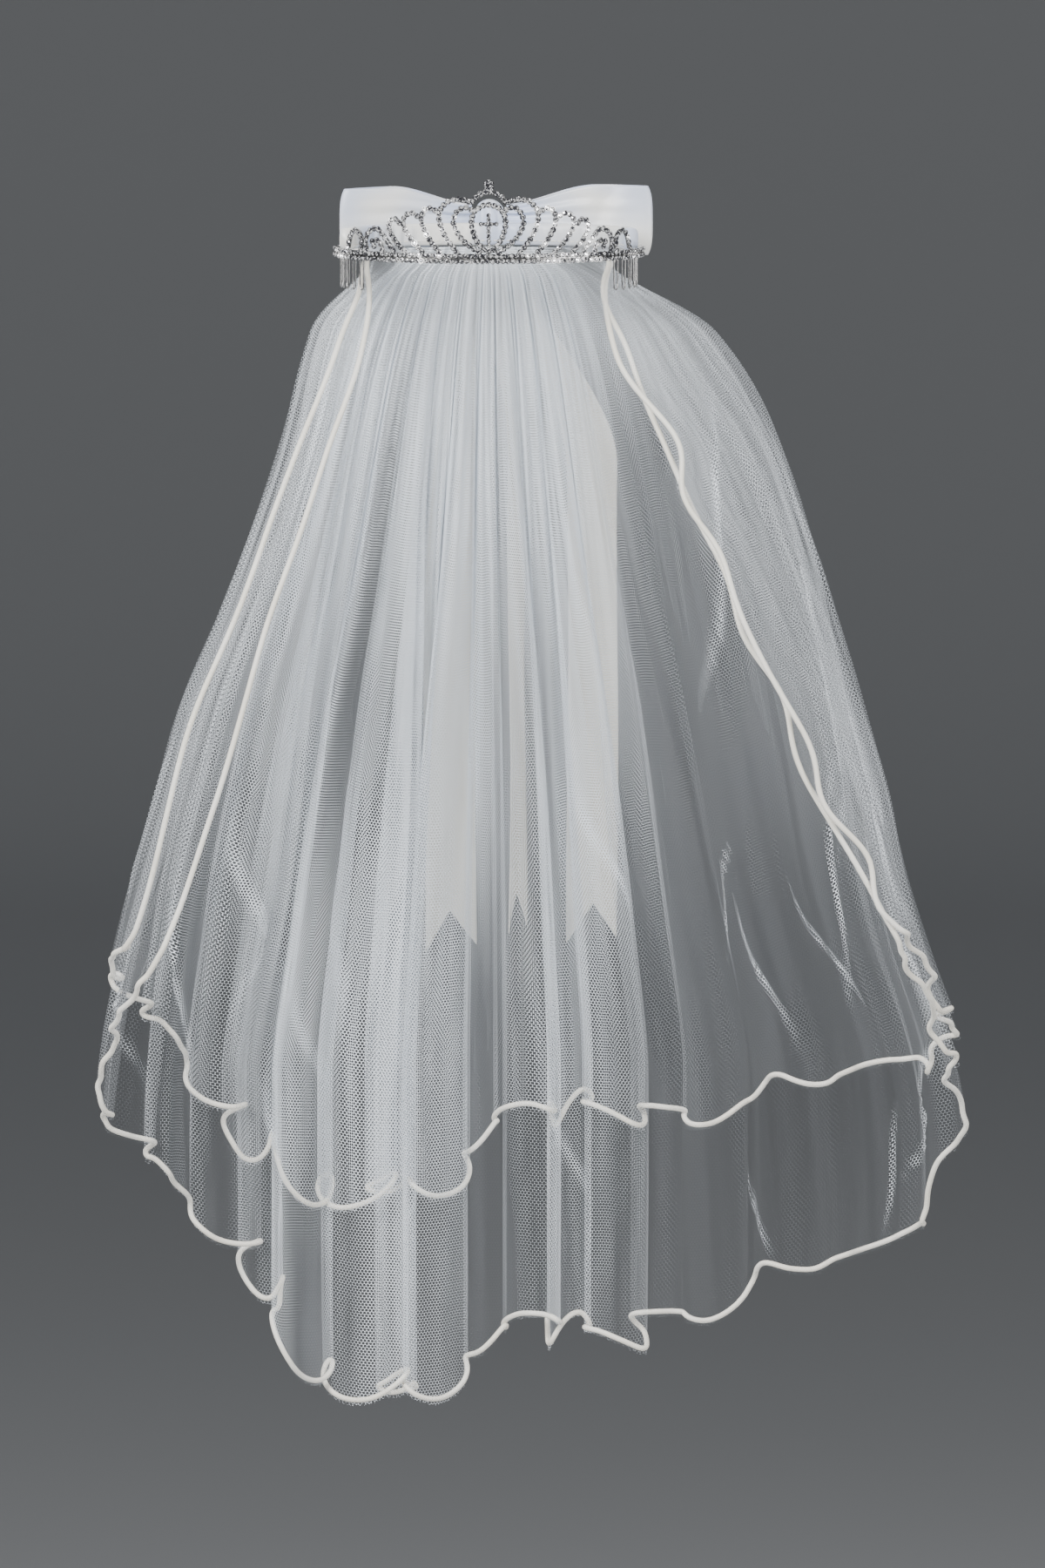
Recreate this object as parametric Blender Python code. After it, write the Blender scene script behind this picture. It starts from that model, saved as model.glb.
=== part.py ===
"""Bridal veil as it hangs when worn: two gathered net layers with corded edges, a satin header
ribbon, a satin bow with tails, and a wire tiara with two side combs. Metres, +Z up.
The origin is the middle of the head opening, at the height of the tiara band."""

import math
from collections import namedtuple

import bmesh
import bpy
import numpy as np

MM = 0.001

# Clearance that touching pieces keep.
GAP = 0.3 * MM

# Net layers: wall thickness, and the space between the two layers at the header and below it.
NET_THICK = 1.0 * MM
NET_SEAT = GAP + NET_THICK / 2
LAYER_SPACE_TOP = 3.5 * MM
LAYER_SPACE_LOW = 5.6 * MM
SHORT_FOLD_SHARE = 0.9
FIRST_FOLD_OF_SHORT = 1

# Satin cord sewn round the edge of each layer.
CORD_RADIUS = 1.35 * MM
CORD_SIDES = 5
CORD_SEAT = CORD_RADIUS + GAP + 0.25 * MM

# Tiara: half its span, how far its front stands forward, and the band's section.
TIARA_HALF_WIDTH = 75 * MM
TIARA_REACH = 50 * MM
BAND_HALF_HEIGHT = 2.2 * MM
BAND_THICK = 1.6 * MM
BAND_STEPS = 36
TAB_LENGTH = 10 * MM
WIRE_RADIUS = 0.7 * MM
WIRE_SIDES = 4

# Side combs under the tiara's ends.
COMB_FROM_DEG = 57
COMB_TO_DEG = 86
COMB_TEETH = 9
COMB_BAR = 3.0 * MM
COMB_TOOTH = 15.0 * MM
COMB_THICK = 1.3 * MM
COMB_INSET = BAND_THICK / 2 + GAP + COMB_THICK / 2

# Header ribbon that the gathers are sewn into. It closes the ring behind the tiara.
HEADER_THICK = 7.4 * MM
HEADER_HEIGHT = 11 * MM
HEADER_HALF_WIDTH = TIARA_HALF_WIDTH - BAND_THICK / 2 - GAP - HEADER_THICK / 2
HEADER_BACK = 36 * MM
HEADER_FRONT = 2 * MM
HEADER_END_DEG = 88
HEADER_STEPS = 30
GATHER_END_DEG = 58
GATHER_INSET = 1.4 * MM

# Bow: a ribbon of this width, its loops, knot and tails.
RIBBON_WIDTH = 34 * MM
RIBBON_THICK = 1.1 * MM
KNOT_SIZE = (8.5 * MM, 6.5 * MM, 10 * MM)
BOW_HEIGHT = 12 * MM
LOOP_PINCH = 0.42
LOOP_BULGE = 7.5 * MM
LOOP_STEPS = 18
LOOP_START_SHARE = 0.035
LOOP_END_NARROWING = 0.25
LOOP_OPEN_RATE = 1.6
LOOP_CURVE = 15 * MM
TAIL_NOTCH = 19 * MM
TAIL_CLEAR = 3.5 * MM
TAIL_UNDER_LOOP = 0.3 * MM
TAIL_STEPS = 14
TAIL_OPEN_RATE = 3
TAIL_TURN_RATE = 4
NOTCH_SHARPNESS = 6

# Rows of points from header to hem: the upper ones at these drops, the lower ones at these shares
# of what is left of each column. Columns of points in one fold.
UPPER_DROPS = (0, 12 * MM, 28 * MM, 52 * MM, 84 * MM, 125 * MM)
LOWER_SHARES = (0.22, 0.46, 0.7, 0.89, 1.0)
COLUMNS_PER_FOLD = 4

# How fast the net leaves the header's line, and how far down its folds have spread and deepened.
FLARE_DROP = 42 * MM
SPREAD_DROP = 230 * MM
DEEPEN_DROP = 330 * MM
TOP_FOLD_DEPTH = 0.8 * MM
MOST_DEPTH_SHARE = 0.6
MOST_LEAN_SHARE = 0.15

# Outline of the hanging net in millimetres, one row for each level below the header: sideways
# reach of the two front edges and of the two sides, then how far the edges and the back stand.
Section = namedtuple("Section", "drop left_edge left_side right_side right_edge front back")
SECTIONS = (
    Section(0, -60, -64, 70, 57, 10, 43),
    Section(22, -60, -77, 91, 58, 3, 51),
    Section(50, -65, -86, 114, 68, -14, 62),
    Section(94, -80, -97, 138, 91, -34, 75),
    Section(138, -94, -112, 154, 108, -48, 86),
    Section(181, -110, -129, 167, 128, -58, 95),
    Section(225, -124, -148, 180, 146, -64, 101),
    Section(268, -136, -161, 193, 167, -68, 106),
    Section(312, -150, -174, 203, 188, -72, 110),
    Section(349, -166, -183, 214, 208, -76, 113),
    Section(403, -180, -194, 234, 222, -76, 117),
    Section(593, -186, -196, 236, 226, -76, 124),
)
SIDE_SHARE = 0.45

# Length of the hem's line in millimetres, for working out how much cloth each fold takes up.
HEM_LENGTH = 700

# Folds from the left front edge to the right one: share of the hem, depth and sideways lean in
# millimetres, and how far the hem dips (+) or lifts (-) on the ridge.
Fold = namedtuple("Fold", "share depth lean dip")
FOLDS = (
    Fold(0.040, 3, 0, 2),
    Fold(0.062, 5, 3, -4),
    Fold(0.056, 8, -4, 5),
    Fold(0.048, 10, 4, 3),
    Fold(0.042, 12, -4, -5),
    Fold(0.036, 14, 5, 6),
    Fold(0.034, 16, 7, 4),
    Fold(0.036, 18, -7, 8),
    Fold(0.034, 17, 6, 5),
    Fold(0.030, 15, 4, -3),
    Fold(0.034, 18, -6, 6),
    Fold(0.030, 13, 4, -4),
    Fold(0.030, 15, 5, -3),
    Fold(0.032, 17, -5, 4),
    Fold(0.032, 14, 4, 6),
    Fold(0.034, 16, -6, -4),
    Fold(0.048, 9, 3, 5),
    Fold(0.064, 7, -3, -5),
    Fold(0.068, 6, 3, -3),
    Fold(0.062, 9, -5, 7),
    Fold(0.052, 8, 4, -4),
    Fold(0.048, 7, -3, 4),
    Fold(0.048, 5, 2, -4),
)

# Length of each layer in millimetres along its hem, which runs from 0 at the left front edge to 1.
Hem = namedtuple("Hem", "along drop")
LONG_HEM = (
    Hem(0.00, 344),
    Hem(0.06, 386),
    Hem(0.13, 425),
    Hem(0.20, 455),
    Hem(0.30, 527),
    Hem(0.36, 574),
    Hem(0.42, 588),
    Hem(0.46, 568),
    Hem(0.50, 551),
    Hem(0.55, 557),
    Hem(0.61, 547),
    Hem(0.70, 522),
    Hem(0.80, 488),
    Hem(0.87, 420),
    Hem(0.94, 375),
    Hem(1.00, 330),
)
SHORT_HEM = (
    Hem(0.04, 338),
    Hem(0.13, 356),
    Hem(0.20, 384),
    Hem(0.25, 418),
    Hem(0.30, 456),
    Hem(0.36, 477),
    Hem(0.42, 484),
    Hem(0.46, 464),
    Hem(0.50, 443),
    Hem(0.55, 441),
    Hem(0.61, 445),
    Hem(0.70, 427),
    Hem(0.80, 407),
    Hem(0.87, 386),
    Hem(0.94, 358),
    Hem(1.00, 325),
)

# Bow loops in millimetres: reach from the knot, and the height and tilt of the outer end.
Loop = namedtuple("Loop", "name reach end_rise")
LOOPS = (
    Loop("bow_loop_left", -74, -1.0),
    Loop("bow_loop_right", 81, 0.5),
)

# Tails in millimetres: sideways place at the knot and at the end, length below the origin, the
# ribbon's turn about the vertical in degrees, and how far it stands off the net.
Tail = namedtuple("Tail", "name start_x end_x drop turn_deg stand")
TAILS = (
    Tail("bow_tail_left", -8, -20, 366, 40, 2),
    Tail("bow_tail_middle", 0, 14, 358, 76, 5),
    Tail("bow_tail_right", 8, 52, 362, 42, 0),
)
TAIL_TOP_SHARE = 0.2

# Wire scrolls of the tiara in millimetres, as (sideways, height) points for the left half, each
# from its foot on the band. The right half mirrors them.
SCROLL_FOOT = 3.1
SCROLLS = {
    "heart": ((4.9, SCROLL_FOOT), (12.4, 9.0), (16.9, 16.6), (15.6, 22.6), (11.7, 25.2), (8.3, 23.9)),
    "tall": ((15.5, SCROLL_FOOT), (20.0, 9.2), (23.6, 17.0), (23.7, 23.4), (19.6, 28.0), (13.6, 29.2),
             (9.5, 28.0)),
    "second": ((24.0, SCROLL_FOOT), (29.1, 9.8), (32.3, 16.8), (32.0, 22.2), (29.2, 24.6), (26.1, 23.6)),
    "third": ((32.4, SCROLL_FOOT), (37.2, 8.6), (41.2, 15.4), (40.6, 20.2), (37.6, 22.0), (34.7, 20.6)),
    "fourth": ((41.0, SCROLL_FOOT), (45.6, 8.6), (48.4, 14.0), (47.6, 17.8), (45.2, 18.8), (43.3, 17.0)),
    "side": ((46.2, SCROLL_FOOT), (50.6, 9.6), (54.2, 13.6), (58.0, 12.0), (60.0, 7.4), (59.4, SCROLL_FOOT)),
    "curl": ((51.6, SCROLL_FOOT), (52.6, 6.4), (54.8, 8.2), (56.8, 6.8), (55.6, 4.9)),
    "end": ((62.2, SCROLL_FOOT), (61.9, 8.2), (64.4, 12.2), (67.2, 9.6), (68.6, SCROLL_FOOT)),
}
EGG_BOTTOM = 3.4
EGG_TOP = 26.4
EGG_HALF_WIDTH = 8.0
EGG_TAPER = 0.28
EGG_STEPS = 18
CROWN_ARCH = ((-8.2, 28.1), (-4.9, 31.2), (0.0, 33.0), (4.9, 31.2), (8.2, 28.1))
CROWN_TIP = (34.1, 37.3)
CROSS_BOTTOM = 4.4
CROSS_TOP = 21.2
CROSS_ARM_HEIGHT = 17.0
CROSS_ARM_HALF = 3.7
CROSS_HALF_THICK = 0.7


def clear_scene():
    for old in list(bpy.data.objects):
        bpy.data.objects.remove(old)


def make_material(name, colour, roughness, metallic=0.0, alpha=1.0):
    material = bpy.data.materials.new(name)
    material.use_nodes = True
    shader = material.node_tree.nodes["Principled BSDF"]
    shader.inputs["Base Color"].default_value = (*colour, 1.0)
    shader.inputs["Roughness"].default_value = roughness
    shader.inputs["Metallic"].default_value = metallic
    shader.inputs["Alpha"].default_value = alpha
    return material


def add_object(name, points, faces, material, smooth=True):
    mesh = bpy.data.meshes.new(name)
    mesh.from_pydata([tuple(p) for p in points], [], [tuple(f) for f in faces])
    tidy = bmesh.new()
    tidy.from_mesh(mesh)
    bmesh.ops.recalc_face_normals(tidy, faces=tidy.faces)
    tidy.to_mesh(mesh)
    tidy.free()
    mesh.materials.append(material)
    if smooth:
        mesh.shade_smooth()
        mesh.set_sharp_from_angle(angle=math.radians(60))
    made = bpy.data.objects.new(name, mesh)
    bpy.context.scene.collection.objects.link(made)
    return made


def unit(vector):
    return vector / max(np.linalg.norm(vector), 1e-12)


def ease(t):
    """0 to 1 with a soft start and end."""
    t = min(max(t, 0.0), 1.0)
    return t * t * (3 - 2 * t)


def smooth_read(places, values, at):
    """Reads a table at one place, on a smooth line through its rows."""
    at = min(max(at, places[0]), places[-1])
    i = min(max(int(np.searchsorted(places, at)) - 1, 0), len(places) - 2)
    slopes = np.gradient(values, places)
    width = places[i + 1] - places[i]
    t = (at - places[i]) / width
    return (
        (2 * t**3 - 3 * t**2 + 1) * values[i]
        + (t**3 - 2 * t**2 + t) * width * slopes[i]
        + (3 * t**2 - 2 * t**3) * values[i + 1]
        + (t**3 - t**2) * width * slopes[i + 1]
    )


def smooth_path(points, steps):
    """A smooth line through the given points, with this many steps between neighbours."""
    points = np.array(points, float)
    places = np.arange(len(points), dtype=float)
    count = steps * (len(points) - 1) + 1
    return np.array(
        [
            [smooth_read(places, points[:, axis], at) for axis in range(points.shape[1])]
            for at in np.linspace(0, len(points) - 1, count)
        ]
    )


def corner_normals(points, faces):
    normals = np.zeros_like(points)
    for face in faces:
        a, b, c = (points[face[i]] for i in (0, 1, 2))
        d = points[face[-1]]
        normal = np.cross(c - a, d - b) if len(face) == 4 else np.cross(b - a, c - a)
        for corner in face:
            normals[corner] += normal
    return normals / np.maximum(np.linalg.norm(normals, axis=1), 1e-12)[:, None]


def make_wall(name, points, faces, thick, material):
    """A closed wall of even thickness, half of it on each side of the given surface. Both sides
    split their four-cornered faces the same way, so that a twisted face stays as thick."""
    points = np.array(points, float)
    count = len(points)
    offset = corner_normals(points, faces) * thick / 2
    split = [(a, b, c) for a, b, c, d in faces] + [(a, c, d) for a, b, c, d in faces]
    walls = list(split)
    walls += [(c + count, b + count, a + count) for a, b, c in split]
    sides = {}
    for face in faces:
        for a, b in zip(face, (*face[1:], face[0])):
            sides[(a, b)] = True
    for a, b in sides:
        if (b, a) not in sides:
            walls.append((b, a, a + count, b + count))
    return add_object(name, np.vstack([points + offset, points - offset]), walls, material)


def grid_faces(rows, columns):
    return [
        (r * columns + c, r * columns + c + 1, (r + 1) * columns + c + 1, (r + 1) * columns + c)
        for r in range(rows - 1)
        for c in range(columns - 1)
    ]


def make_tube(name, path, radius, sides, material, closed=False, first_side=(0, 1, 0)):
    """A tube along a path, with closed ends. Its section turns no more than the path does."""
    path = np.array(path, float)
    count = len(path)
    ahead = np.roll(path, -1, axis=0) - path
    behind = path - np.roll(path, 1, axis=0)
    if not closed:
        ahead[-1] = behind[-1]
        behind[0] = ahead[0]
    across = np.array(first_side, float)
    points = []
    for i in range(count):
        direction = unit(unit(ahead[i]) + unit(behind[i]))
        across = unit(across - direction * (across @ direction))
        other = np.cross(direction, across)
        for side in range(sides):
            angle = 2 * math.pi * (side + 0.5) / sides
            points.append(path[i] + radius * (across * math.cos(angle) + other * math.sin(angle)))
    faces = []
    for i in range(count if closed else count - 1):
        for side in range(sides):
            after = (side + 1) % sides
            low, high = i * sides, (i + 1) % count * sides
            faces.append((low + side, low + after, high + after, high + side))
    if not closed:
        faces.append(tuple(range(sides)))
        faces.append(tuple(range((count - 1) * sides, count * sides)))
    return add_object(name, points, faces, material)


def section_at(drop):
    """The outline row at one drop below the header, in metres."""
    places = np.array([row.drop for row in SECTIONS], float) * MM
    return Section(
        *(
            smooth_read(places, np.array([row[column] for row in SECTIONS], float) * MM, drop)
            for column in range(len(Section._fields))
        )
    )


def level_curve(drop, steps=24):
    """Plan points round one level, from the left front edge by the back to the right one."""
    row = section_at(drop)
    middle = (row.left_side + row.right_side) / 2
    side_y = row.front + SIDE_SHARE * (row.back - row.front)
    quarter = np.linspace(0, math.pi / 2, steps)
    left_wrap = [
        (row.left_side + (row.left_edge - row.left_side) * (1 - math.cos(a)),
         side_y + (row.front - side_y) * math.sin(a))
        for a in quarter[::-1]
    ]
    left_back = [
        (middle + (row.left_side - middle) * math.cos(a), side_y + (row.back - side_y) * math.sin(a))
        for a in quarter[1:]
    ]
    right_back = [
        (middle + (row.right_side - middle) * math.sin(a), side_y + (row.back - side_y) * math.cos(a))
        for a in quarter[1:]
    ]
    right_wrap = [
        (row.right_side + (row.right_edge - row.right_side) * (1 - math.cos(a)),
         side_y + (row.front - side_y) * math.sin(a))
        for a in quarter[1:]
    ]
    return np.array(left_wrap + left_back + right_back + right_wrap)


def read_curve(curve, share):
    """The point at a share of a plan curve's length."""
    lengths = np.concatenate([[0], np.cumsum(np.linalg.norm(np.diff(curve, axis=0), axis=1))])
    at = share * lengths[-1]
    return np.array([np.interp(at, lengths, curve[:, axis]) for axis in (0, 1)])


def header_point(angle, inset=0.0):
    """A point on the header ribbon's centreline in plan, moved in by inset."""
    return np.array(
        [
            (HEADER_HALF_WIDTH - inset) * math.sin(angle),
            HEADER_FRONT + (HEADER_BACK - inset) * math.cos(angle),
        ]
    )


def gathered_curve(steps=97):
    """The stretch of the header under which the net is gathered."""
    end = math.radians(GATHER_END_DEG)
    return np.array([header_point(a, GATHER_INSET) for a in np.linspace(-end, end, steps)])


def fold_edges():
    """Where each fold starts and ends along the hem, and along the header, where it is gathered."""
    hem = np.concatenate([[0], np.cumsum([fold.share for fold in FOLDS])])
    hem /= hem[-1]
    cloth = [math.hypot(fold.share * HEM_LENGTH, 2 * fold.depth) for fold in FOLDS]
    top = np.concatenate([[0], np.cumsum(cloth)])
    return hem, top / top[-1]


HEM_EDGES, TOP_EDGES = fold_edges()
GATHERS = gathered_curve()


def plan_place(fold, t, drop, curve):
    """Base point of a column in plan: under the header at the top, on the level's outline below."""
    top = TOP_EDGES[fold] + t * (TOP_EDGES[fold + 1] - TOP_EDGES[fold])
    hem = HEM_EDGES[fold] + t * (HEM_EDGES[fold + 1] - HEM_EDGES[fold])
    share = top + (hem - top) * ease(drop / SPREAD_DROP)
    flare = math.sin(math.pi / 2 * min(1.0, drop / FLARE_DROP))
    return read_curve(GATHERS, top) * (1 - flare) + read_curve(curve, share) * flare


def net_point(fold, t, drop, space, depth_share):
    """A point of a layer. space moves it out from the long layer's base surface."""
    curve = level_curve(drop)
    here = plan_place(fold, t, drop, curve)
    step = 0.1 if t < 0.9 else -0.1
    tangent = unit((plan_place(fold, t + step, drop, curve) - here) * np.sign(step))
    outward = np.array([-tangent[1], tangent[0]])
    pulse = math.sin(math.pi * t) ** 2
    grown = ease(drop / DEEPEN_DROP)
    ends = [plan_place(fold, end, drop, curve) for end in (0, 1)]
    width = np.linalg.norm(ends[1] - ends[0])
    depth = TOP_FOLD_DEPTH + (FOLDS[fold].depth * MM - TOP_FOLD_DEPTH) * grown
    depth = min(depth, MOST_DEPTH_SHARE * width) * depth_share
    most_lean = MOST_LEAN_SHARE * width
    lean = min(max(FOLDS[fold].lean * MM * grown, -most_lean), most_lean)
    x, y = here + outward * (space - depth * pulse) + tangent * lean * pulse
    return np.array([x, y, -NET_SEAT - drop])


def layer_space(drop):
    return LAYER_SPACE_TOP + (LAYER_SPACE_LOW - LAYER_SPACE_TOP) * ease(drop / (2 * FLARE_DROP))


def columns_of(first_fold):
    columns = [
        (fold, step / COLUMNS_PER_FOLD)
        for fold in range(first_fold, len(FOLDS))
        for step in range(COLUMNS_PER_FOLD)
    ]
    return columns + [(len(FOLDS) - 1, 1.0)]


def layer_grid(hem, first_fold, outer):
    """Rows of points from the header to the hem, for one layer."""
    places = np.array([row.along for row in hem])
    drops = np.array([row.drop for row in hem]) * MM
    columns = []
    for fold, t in columns_of(first_fold):
        along = HEM_EDGES[fold] + t * (HEM_EDGES[fold + 1] - HEM_EDGES[fold])
        dip = FOLDS[fold].dip * MM * math.sin(math.pi * t) ** 2
        length = smooth_read(places, drops, along) + dip
        last_fixed = UPPER_DROPS[-1]
        levels = list(UPPER_DROPS)
        levels += [last_fixed + share * (length - last_fixed) for share in LOWER_SHARES]
        columns.append(
            [
                net_point(fold, t, drop, layer_space(drop) if outer else 0.0,
                          SHORT_FOLD_SHARE if outer else 1.0)
                for drop in levels
            ]
        )
    return np.array(columns).transpose(1, 0, 2)


def rim_path(grid):
    """The line just outside a layer's front edges and hem, where its cord is sewn."""
    rows, columns = grid.shape[:2]
    flat = grid.reshape(-1, 3)
    normals = corner_normals(flat, grid_faces(rows, columns)).reshape(grid.shape)
    rim = [(r, 0) for r in range(1, rows)]
    rim += [(rows - 1, c) for c in range(1, columns)]
    rim += [(r, columns - 1) for r in range(rows - 2, 0, -1)]
    line = np.array([grid[place] for place in rim])
    path = []
    for i, place in enumerate(rim):
        ahead = unit(line[min(i + 1, len(line) - 1)] - line[i]) if i + 1 < len(line) else 0
        behind = unit(line[i] - line[i - 1]) if i else 0
        tangent = unit(ahead + behind)
        outward = unit(np.cross(normals[place], tangent))
        r, c = place
        inner = grid[max(r - 1, 0) if r == rows - 1 else r, min(max(c, 1), columns - 2)]
        if outward @ (grid[place] - inner) < 0:
            outward = -outward
        path.append(line[i] + outward * CORD_SEAT)
    return path


def make_layer(name, hem, first_fold, outer, net, satin):
    grid = layer_grid(hem, first_fold, outer)
    faces = grid_faces(*grid.shape[:2])
    make_wall(name + "_layer", grid.reshape(-1, 3), faces, NET_THICK, net)
    make_tube(name + "_layer_cord", rim_path(grid), CORD_RADIUS, CORD_SIDES, satin)


def make_header(satin):
    """The ribbon-bound header, a rounded bar from one end of the tiara to the other."""
    end = math.radians(HEADER_END_DEG)
    half = HEADER_THICK / 2
    section = ((-half, 0.1), (-half, 0.9), (-half * 0.7, 1), (half * 0.7, 1), (half, 0.9), (half, 0.1),
               (half * 0.7, 0), (-half * 0.7, 0))
    points = []
    for angle in np.linspace(-end, end, HEADER_STEPS + 1):
        for out, height in section:
            x, y = header_point(angle, -out)
            points.append((x, y, height * HEADER_HEIGHT))
    size = len(section)
    faces = [tuple(range(size)), tuple(range(HEADER_STEPS * size, (HEADER_STEPS + 1) * size))]
    for i in range(HEADER_STEPS):
        for k in range(size):
            after = (k + 1) % size
            faces.append((i * size + k, i * size + after, (i + 1) * size + after, (i + 1) * size + k))
    add_object("header_ribbon", points, faces, satin)


def tiara_point(x, z, inset=0.0):
    """A point of the tiara's curved front, for a sideways place and a height."""
    half = TIARA_HALF_WIDTH - inset
    share = min(abs(x) / half, 1.0)
    return np.array([x, -(TIARA_REACH - inset) * math.sqrt(1 - share**2), z])


def make_band(metal):
    """The tiara's band, with a straight bare tab at each end that reaches back past the header."""
    plan = [(-TIARA_HALF_WIDTH, TAB_LENGTH)]
    for angle in np.linspace(-math.pi / 2, math.pi / 2, BAND_STEPS + 1):
        plan.append((TIARA_HALF_WIDTH * math.sin(angle), -TIARA_REACH * math.cos(angle)))
    plan.append((TIARA_HALF_WIDTH, TAB_LENGTH))
    points = [(x, y, z) for z in (BAND_HALF_HEIGHT, -BAND_HALF_HEIGHT) for x, y in plan]
    make_wall("tiara_band", points, grid_faces(2, len(plan)), BAND_THICK, metal)


def make_comb(name, side, metal):
    """A curved comb: a bar behind the band, with teeth hanging from every second stretch."""
    stops = 2 * COMB_TEETH - 1
    angles = np.radians(np.linspace(COMB_FROM_DEG, COMB_TO_DEG, stops + 1))
    heights = (COMB_BAR / 2, -COMB_BAR / 2, -COMB_TOOTH / 2, -COMB_TOOTH - COMB_BAR / 2)
    points = []
    for z in heights:
        for angle in angles:
            points.append(
                (
                    side * (TIARA_HALF_WIDTH - COMB_INSET) * math.sin(angle),
                    -(TIARA_REACH - COMB_INSET) * math.cos(angle),
                    z,
                )
            )
    columns = stops + 1
    faces = [face for i, face in enumerate(grid_faces(len(heights), columns))
             if i < stops or i % stops % 2 == 0]
    used = sorted({corner for face in faces for corner in face})
    place = {corner: i for i, corner in enumerate(used)}
    make_wall(
        name,
        [points[corner] for corner in used],
        [tuple(place[corner] for corner in face) for face in faces],
        COMB_THICK,
        metal,
    )


def scroll_path(points, side):
    return [tiara_point(side * x * MM, z * MM) for x, z in smooth_path(points, 2)]


def make_scrolls(metal):
    for name, points in SCROLLS.items():
        for side, word in ((-1, "left"), (1, "right")):
            path = scroll_path(points, side)
            make_tube(f"tiara_{name}_{word}", path, WIRE_RADIUS, WIRE_SIDES, metal)


def make_egg(metal):
    """The closed ring in the middle, narrower at its foot."""
    middle = (EGG_BOTTOM + EGG_TOP) / 2
    half = (EGG_TOP - EGG_BOTTOM) / 2
    path = []
    for angle in np.linspace(0, 2 * math.pi, EGG_STEPS, endpoint=False):
        rise = math.cos(angle)
        width = EGG_HALF_WIDTH * math.sin(angle) * (1 + EGG_TAPER * rise)
        path.append(tiara_point(width * MM, (middle + half * rise) * MM))
    make_tube("tiara_egg", path, WIRE_RADIUS, WIRE_SIDES, metal, closed=True)


def make_cross(metal):
    """A plain cross standing inside the egg."""
    arm = CROSS_ARM_HALF
    half = CROSS_HALF_THICK
    across = (-arm, -half, half, arm)
    up = (CROSS_BOTTOM, CROSS_ARM_HEIGHT - half, CROSS_ARM_HEIGHT + half, CROSS_TOP)
    points = [tiara_point(x * MM, z * MM) for z in up for x in across]
    faces = [face for i, face in enumerate(grid_faces(4, 4)) if i in (1, 3, 4, 5, 7)]
    used = sorted({corner for face in faces for corner in face})
    place = {corner: i for i, corner in enumerate(used)}
    make_wall(
        "tiara_cross",
        [points[corner] for corner in used],
        [tuple(place[corner] for corner in face) for face in faces],
        2 * WIRE_RADIUS,
        metal,
    )


def make_crown(metal):
    """The small arch above the egg, and the tip that stands on it."""
    arch = [tiara_point(x * MM, z * MM) for x, z in smooth_path(CROWN_ARCH, 2)]
    make_tube("tiara_crown_arch", arch, WIRE_RADIUS, WIRE_SIDES, metal)
    tip = [tiara_point(0, z * MM) for z in np.linspace(*CROWN_TIP, 3)]
    make_tube("tiara_crown_tip", tip, WIRE_RADIUS, WIRE_SIDES, metal)


def knot_centre():
    header_face = HEADER_FRONT + HEADER_BACK + HEADER_THICK / 2
    return np.array([0, header_face + GAP + KNOT_SIZE[1], BOW_HEIGHT])


def make_knot(satin):
    """The ribbon knot, a plump oval."""
    ring, rows = 12, 8
    centre = knot_centre()
    size = np.array(KNOT_SIZE)
    points = [centre + size * (0, 0, 1)]
    for r in range(1, rows):
        tilt = math.pi * r / rows
        for k in range(ring):
            turn = 2 * math.pi * k / ring
            away = (math.sin(tilt) * math.cos(turn), math.sin(tilt) * math.sin(turn), math.cos(tilt))
            points.append(centre + size * away)
    points.append(centre - size * (0, 0, 1))
    last = len(points) - 1
    faces = [(0, 1 + k, 1 + (k + 1) % ring) for k in range(ring)]
    for r in range(rows - 2):
        low = 1 + r * ring
        for k in range(ring):
            after = (k + 1) % ring
            faces.append((low + k, low + after, low + ring + after, low + ring + k))
    low = 1 + (rows - 2) * ring
    faces += [(last, low + (k + 1) % ring, low + k) for k in range(ring)]
    add_object("bow_knot", points, faces, satin)


def make_loop(loop, satin):
    """A ribbon loop that leaves the knot, turns at its outer end and comes back, pinched inside."""
    centre = knot_centre()
    side = math.copysign(1, loop.reach)
    reach = abs(loop.reach) * MM
    first_out = (1 - math.cos(2 * math.pi * LOOP_START_SHARE)) / 2
    start = (KNOT_SIZE[0] + GAP - reach * first_out) / (1 - first_out)
    length = reach - start
    rows = []
    for t in np.linspace(LOOP_START_SHARE, 1 - LOOP_START_SHARE, LOOP_STEPS + 1):
        out = (1 - math.cos(2 * math.pi * t)) / 2
        x = start + length * out
        y = centre[1] - LOOP_BULGE * math.sin(2 * math.pi * t) * (1 - LOOP_END_NARROWING * out)
        y -= LOOP_CURVE * (x / reach) ** 2
        spread = LOOP_PINCH + (1 - LOOP_PINCH) * ease(out * LOOP_OPEN_RATE)
        rise = loop.end_rise * MM * out
        half = RIBBON_WIDTH / 2 * spread
        rows.append([(side * x, y, centre[2] + rise + half * k) for k in (-1, -0.5, 0, 0.5, 1)])
    grid = np.array(rows)
    make_wall(loop.name, grid.reshape(-1, 3), grid_faces(*grid.shape[:2]), RIBBON_THICK, satin)


def outside_back(x, drop):
    """How far back the short layer's outside stands at a sideways place and a drop."""
    curve = level_curve(drop)
    flare = math.sin(math.pi / 2 * min(1.0, drop / FLARE_DROP))
    middle = curve[len(curve) // 4 : -(len(curve) // 4)]
    below = float(np.interp(x, middle[:, 0], middle[:, 1]))
    header = float(np.interp(x, GATHERS[:, 0], GATHERS[:, 1]))
    return header * (1 - flare) + below * flare + layer_space(drop) + NET_THICK / 2


def toward(value, goal, step):
    """The value moved to the goal by at most one step."""
    return goal + math.copysign(max(abs(value - goal) - step, 0.0), value - goal)


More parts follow.
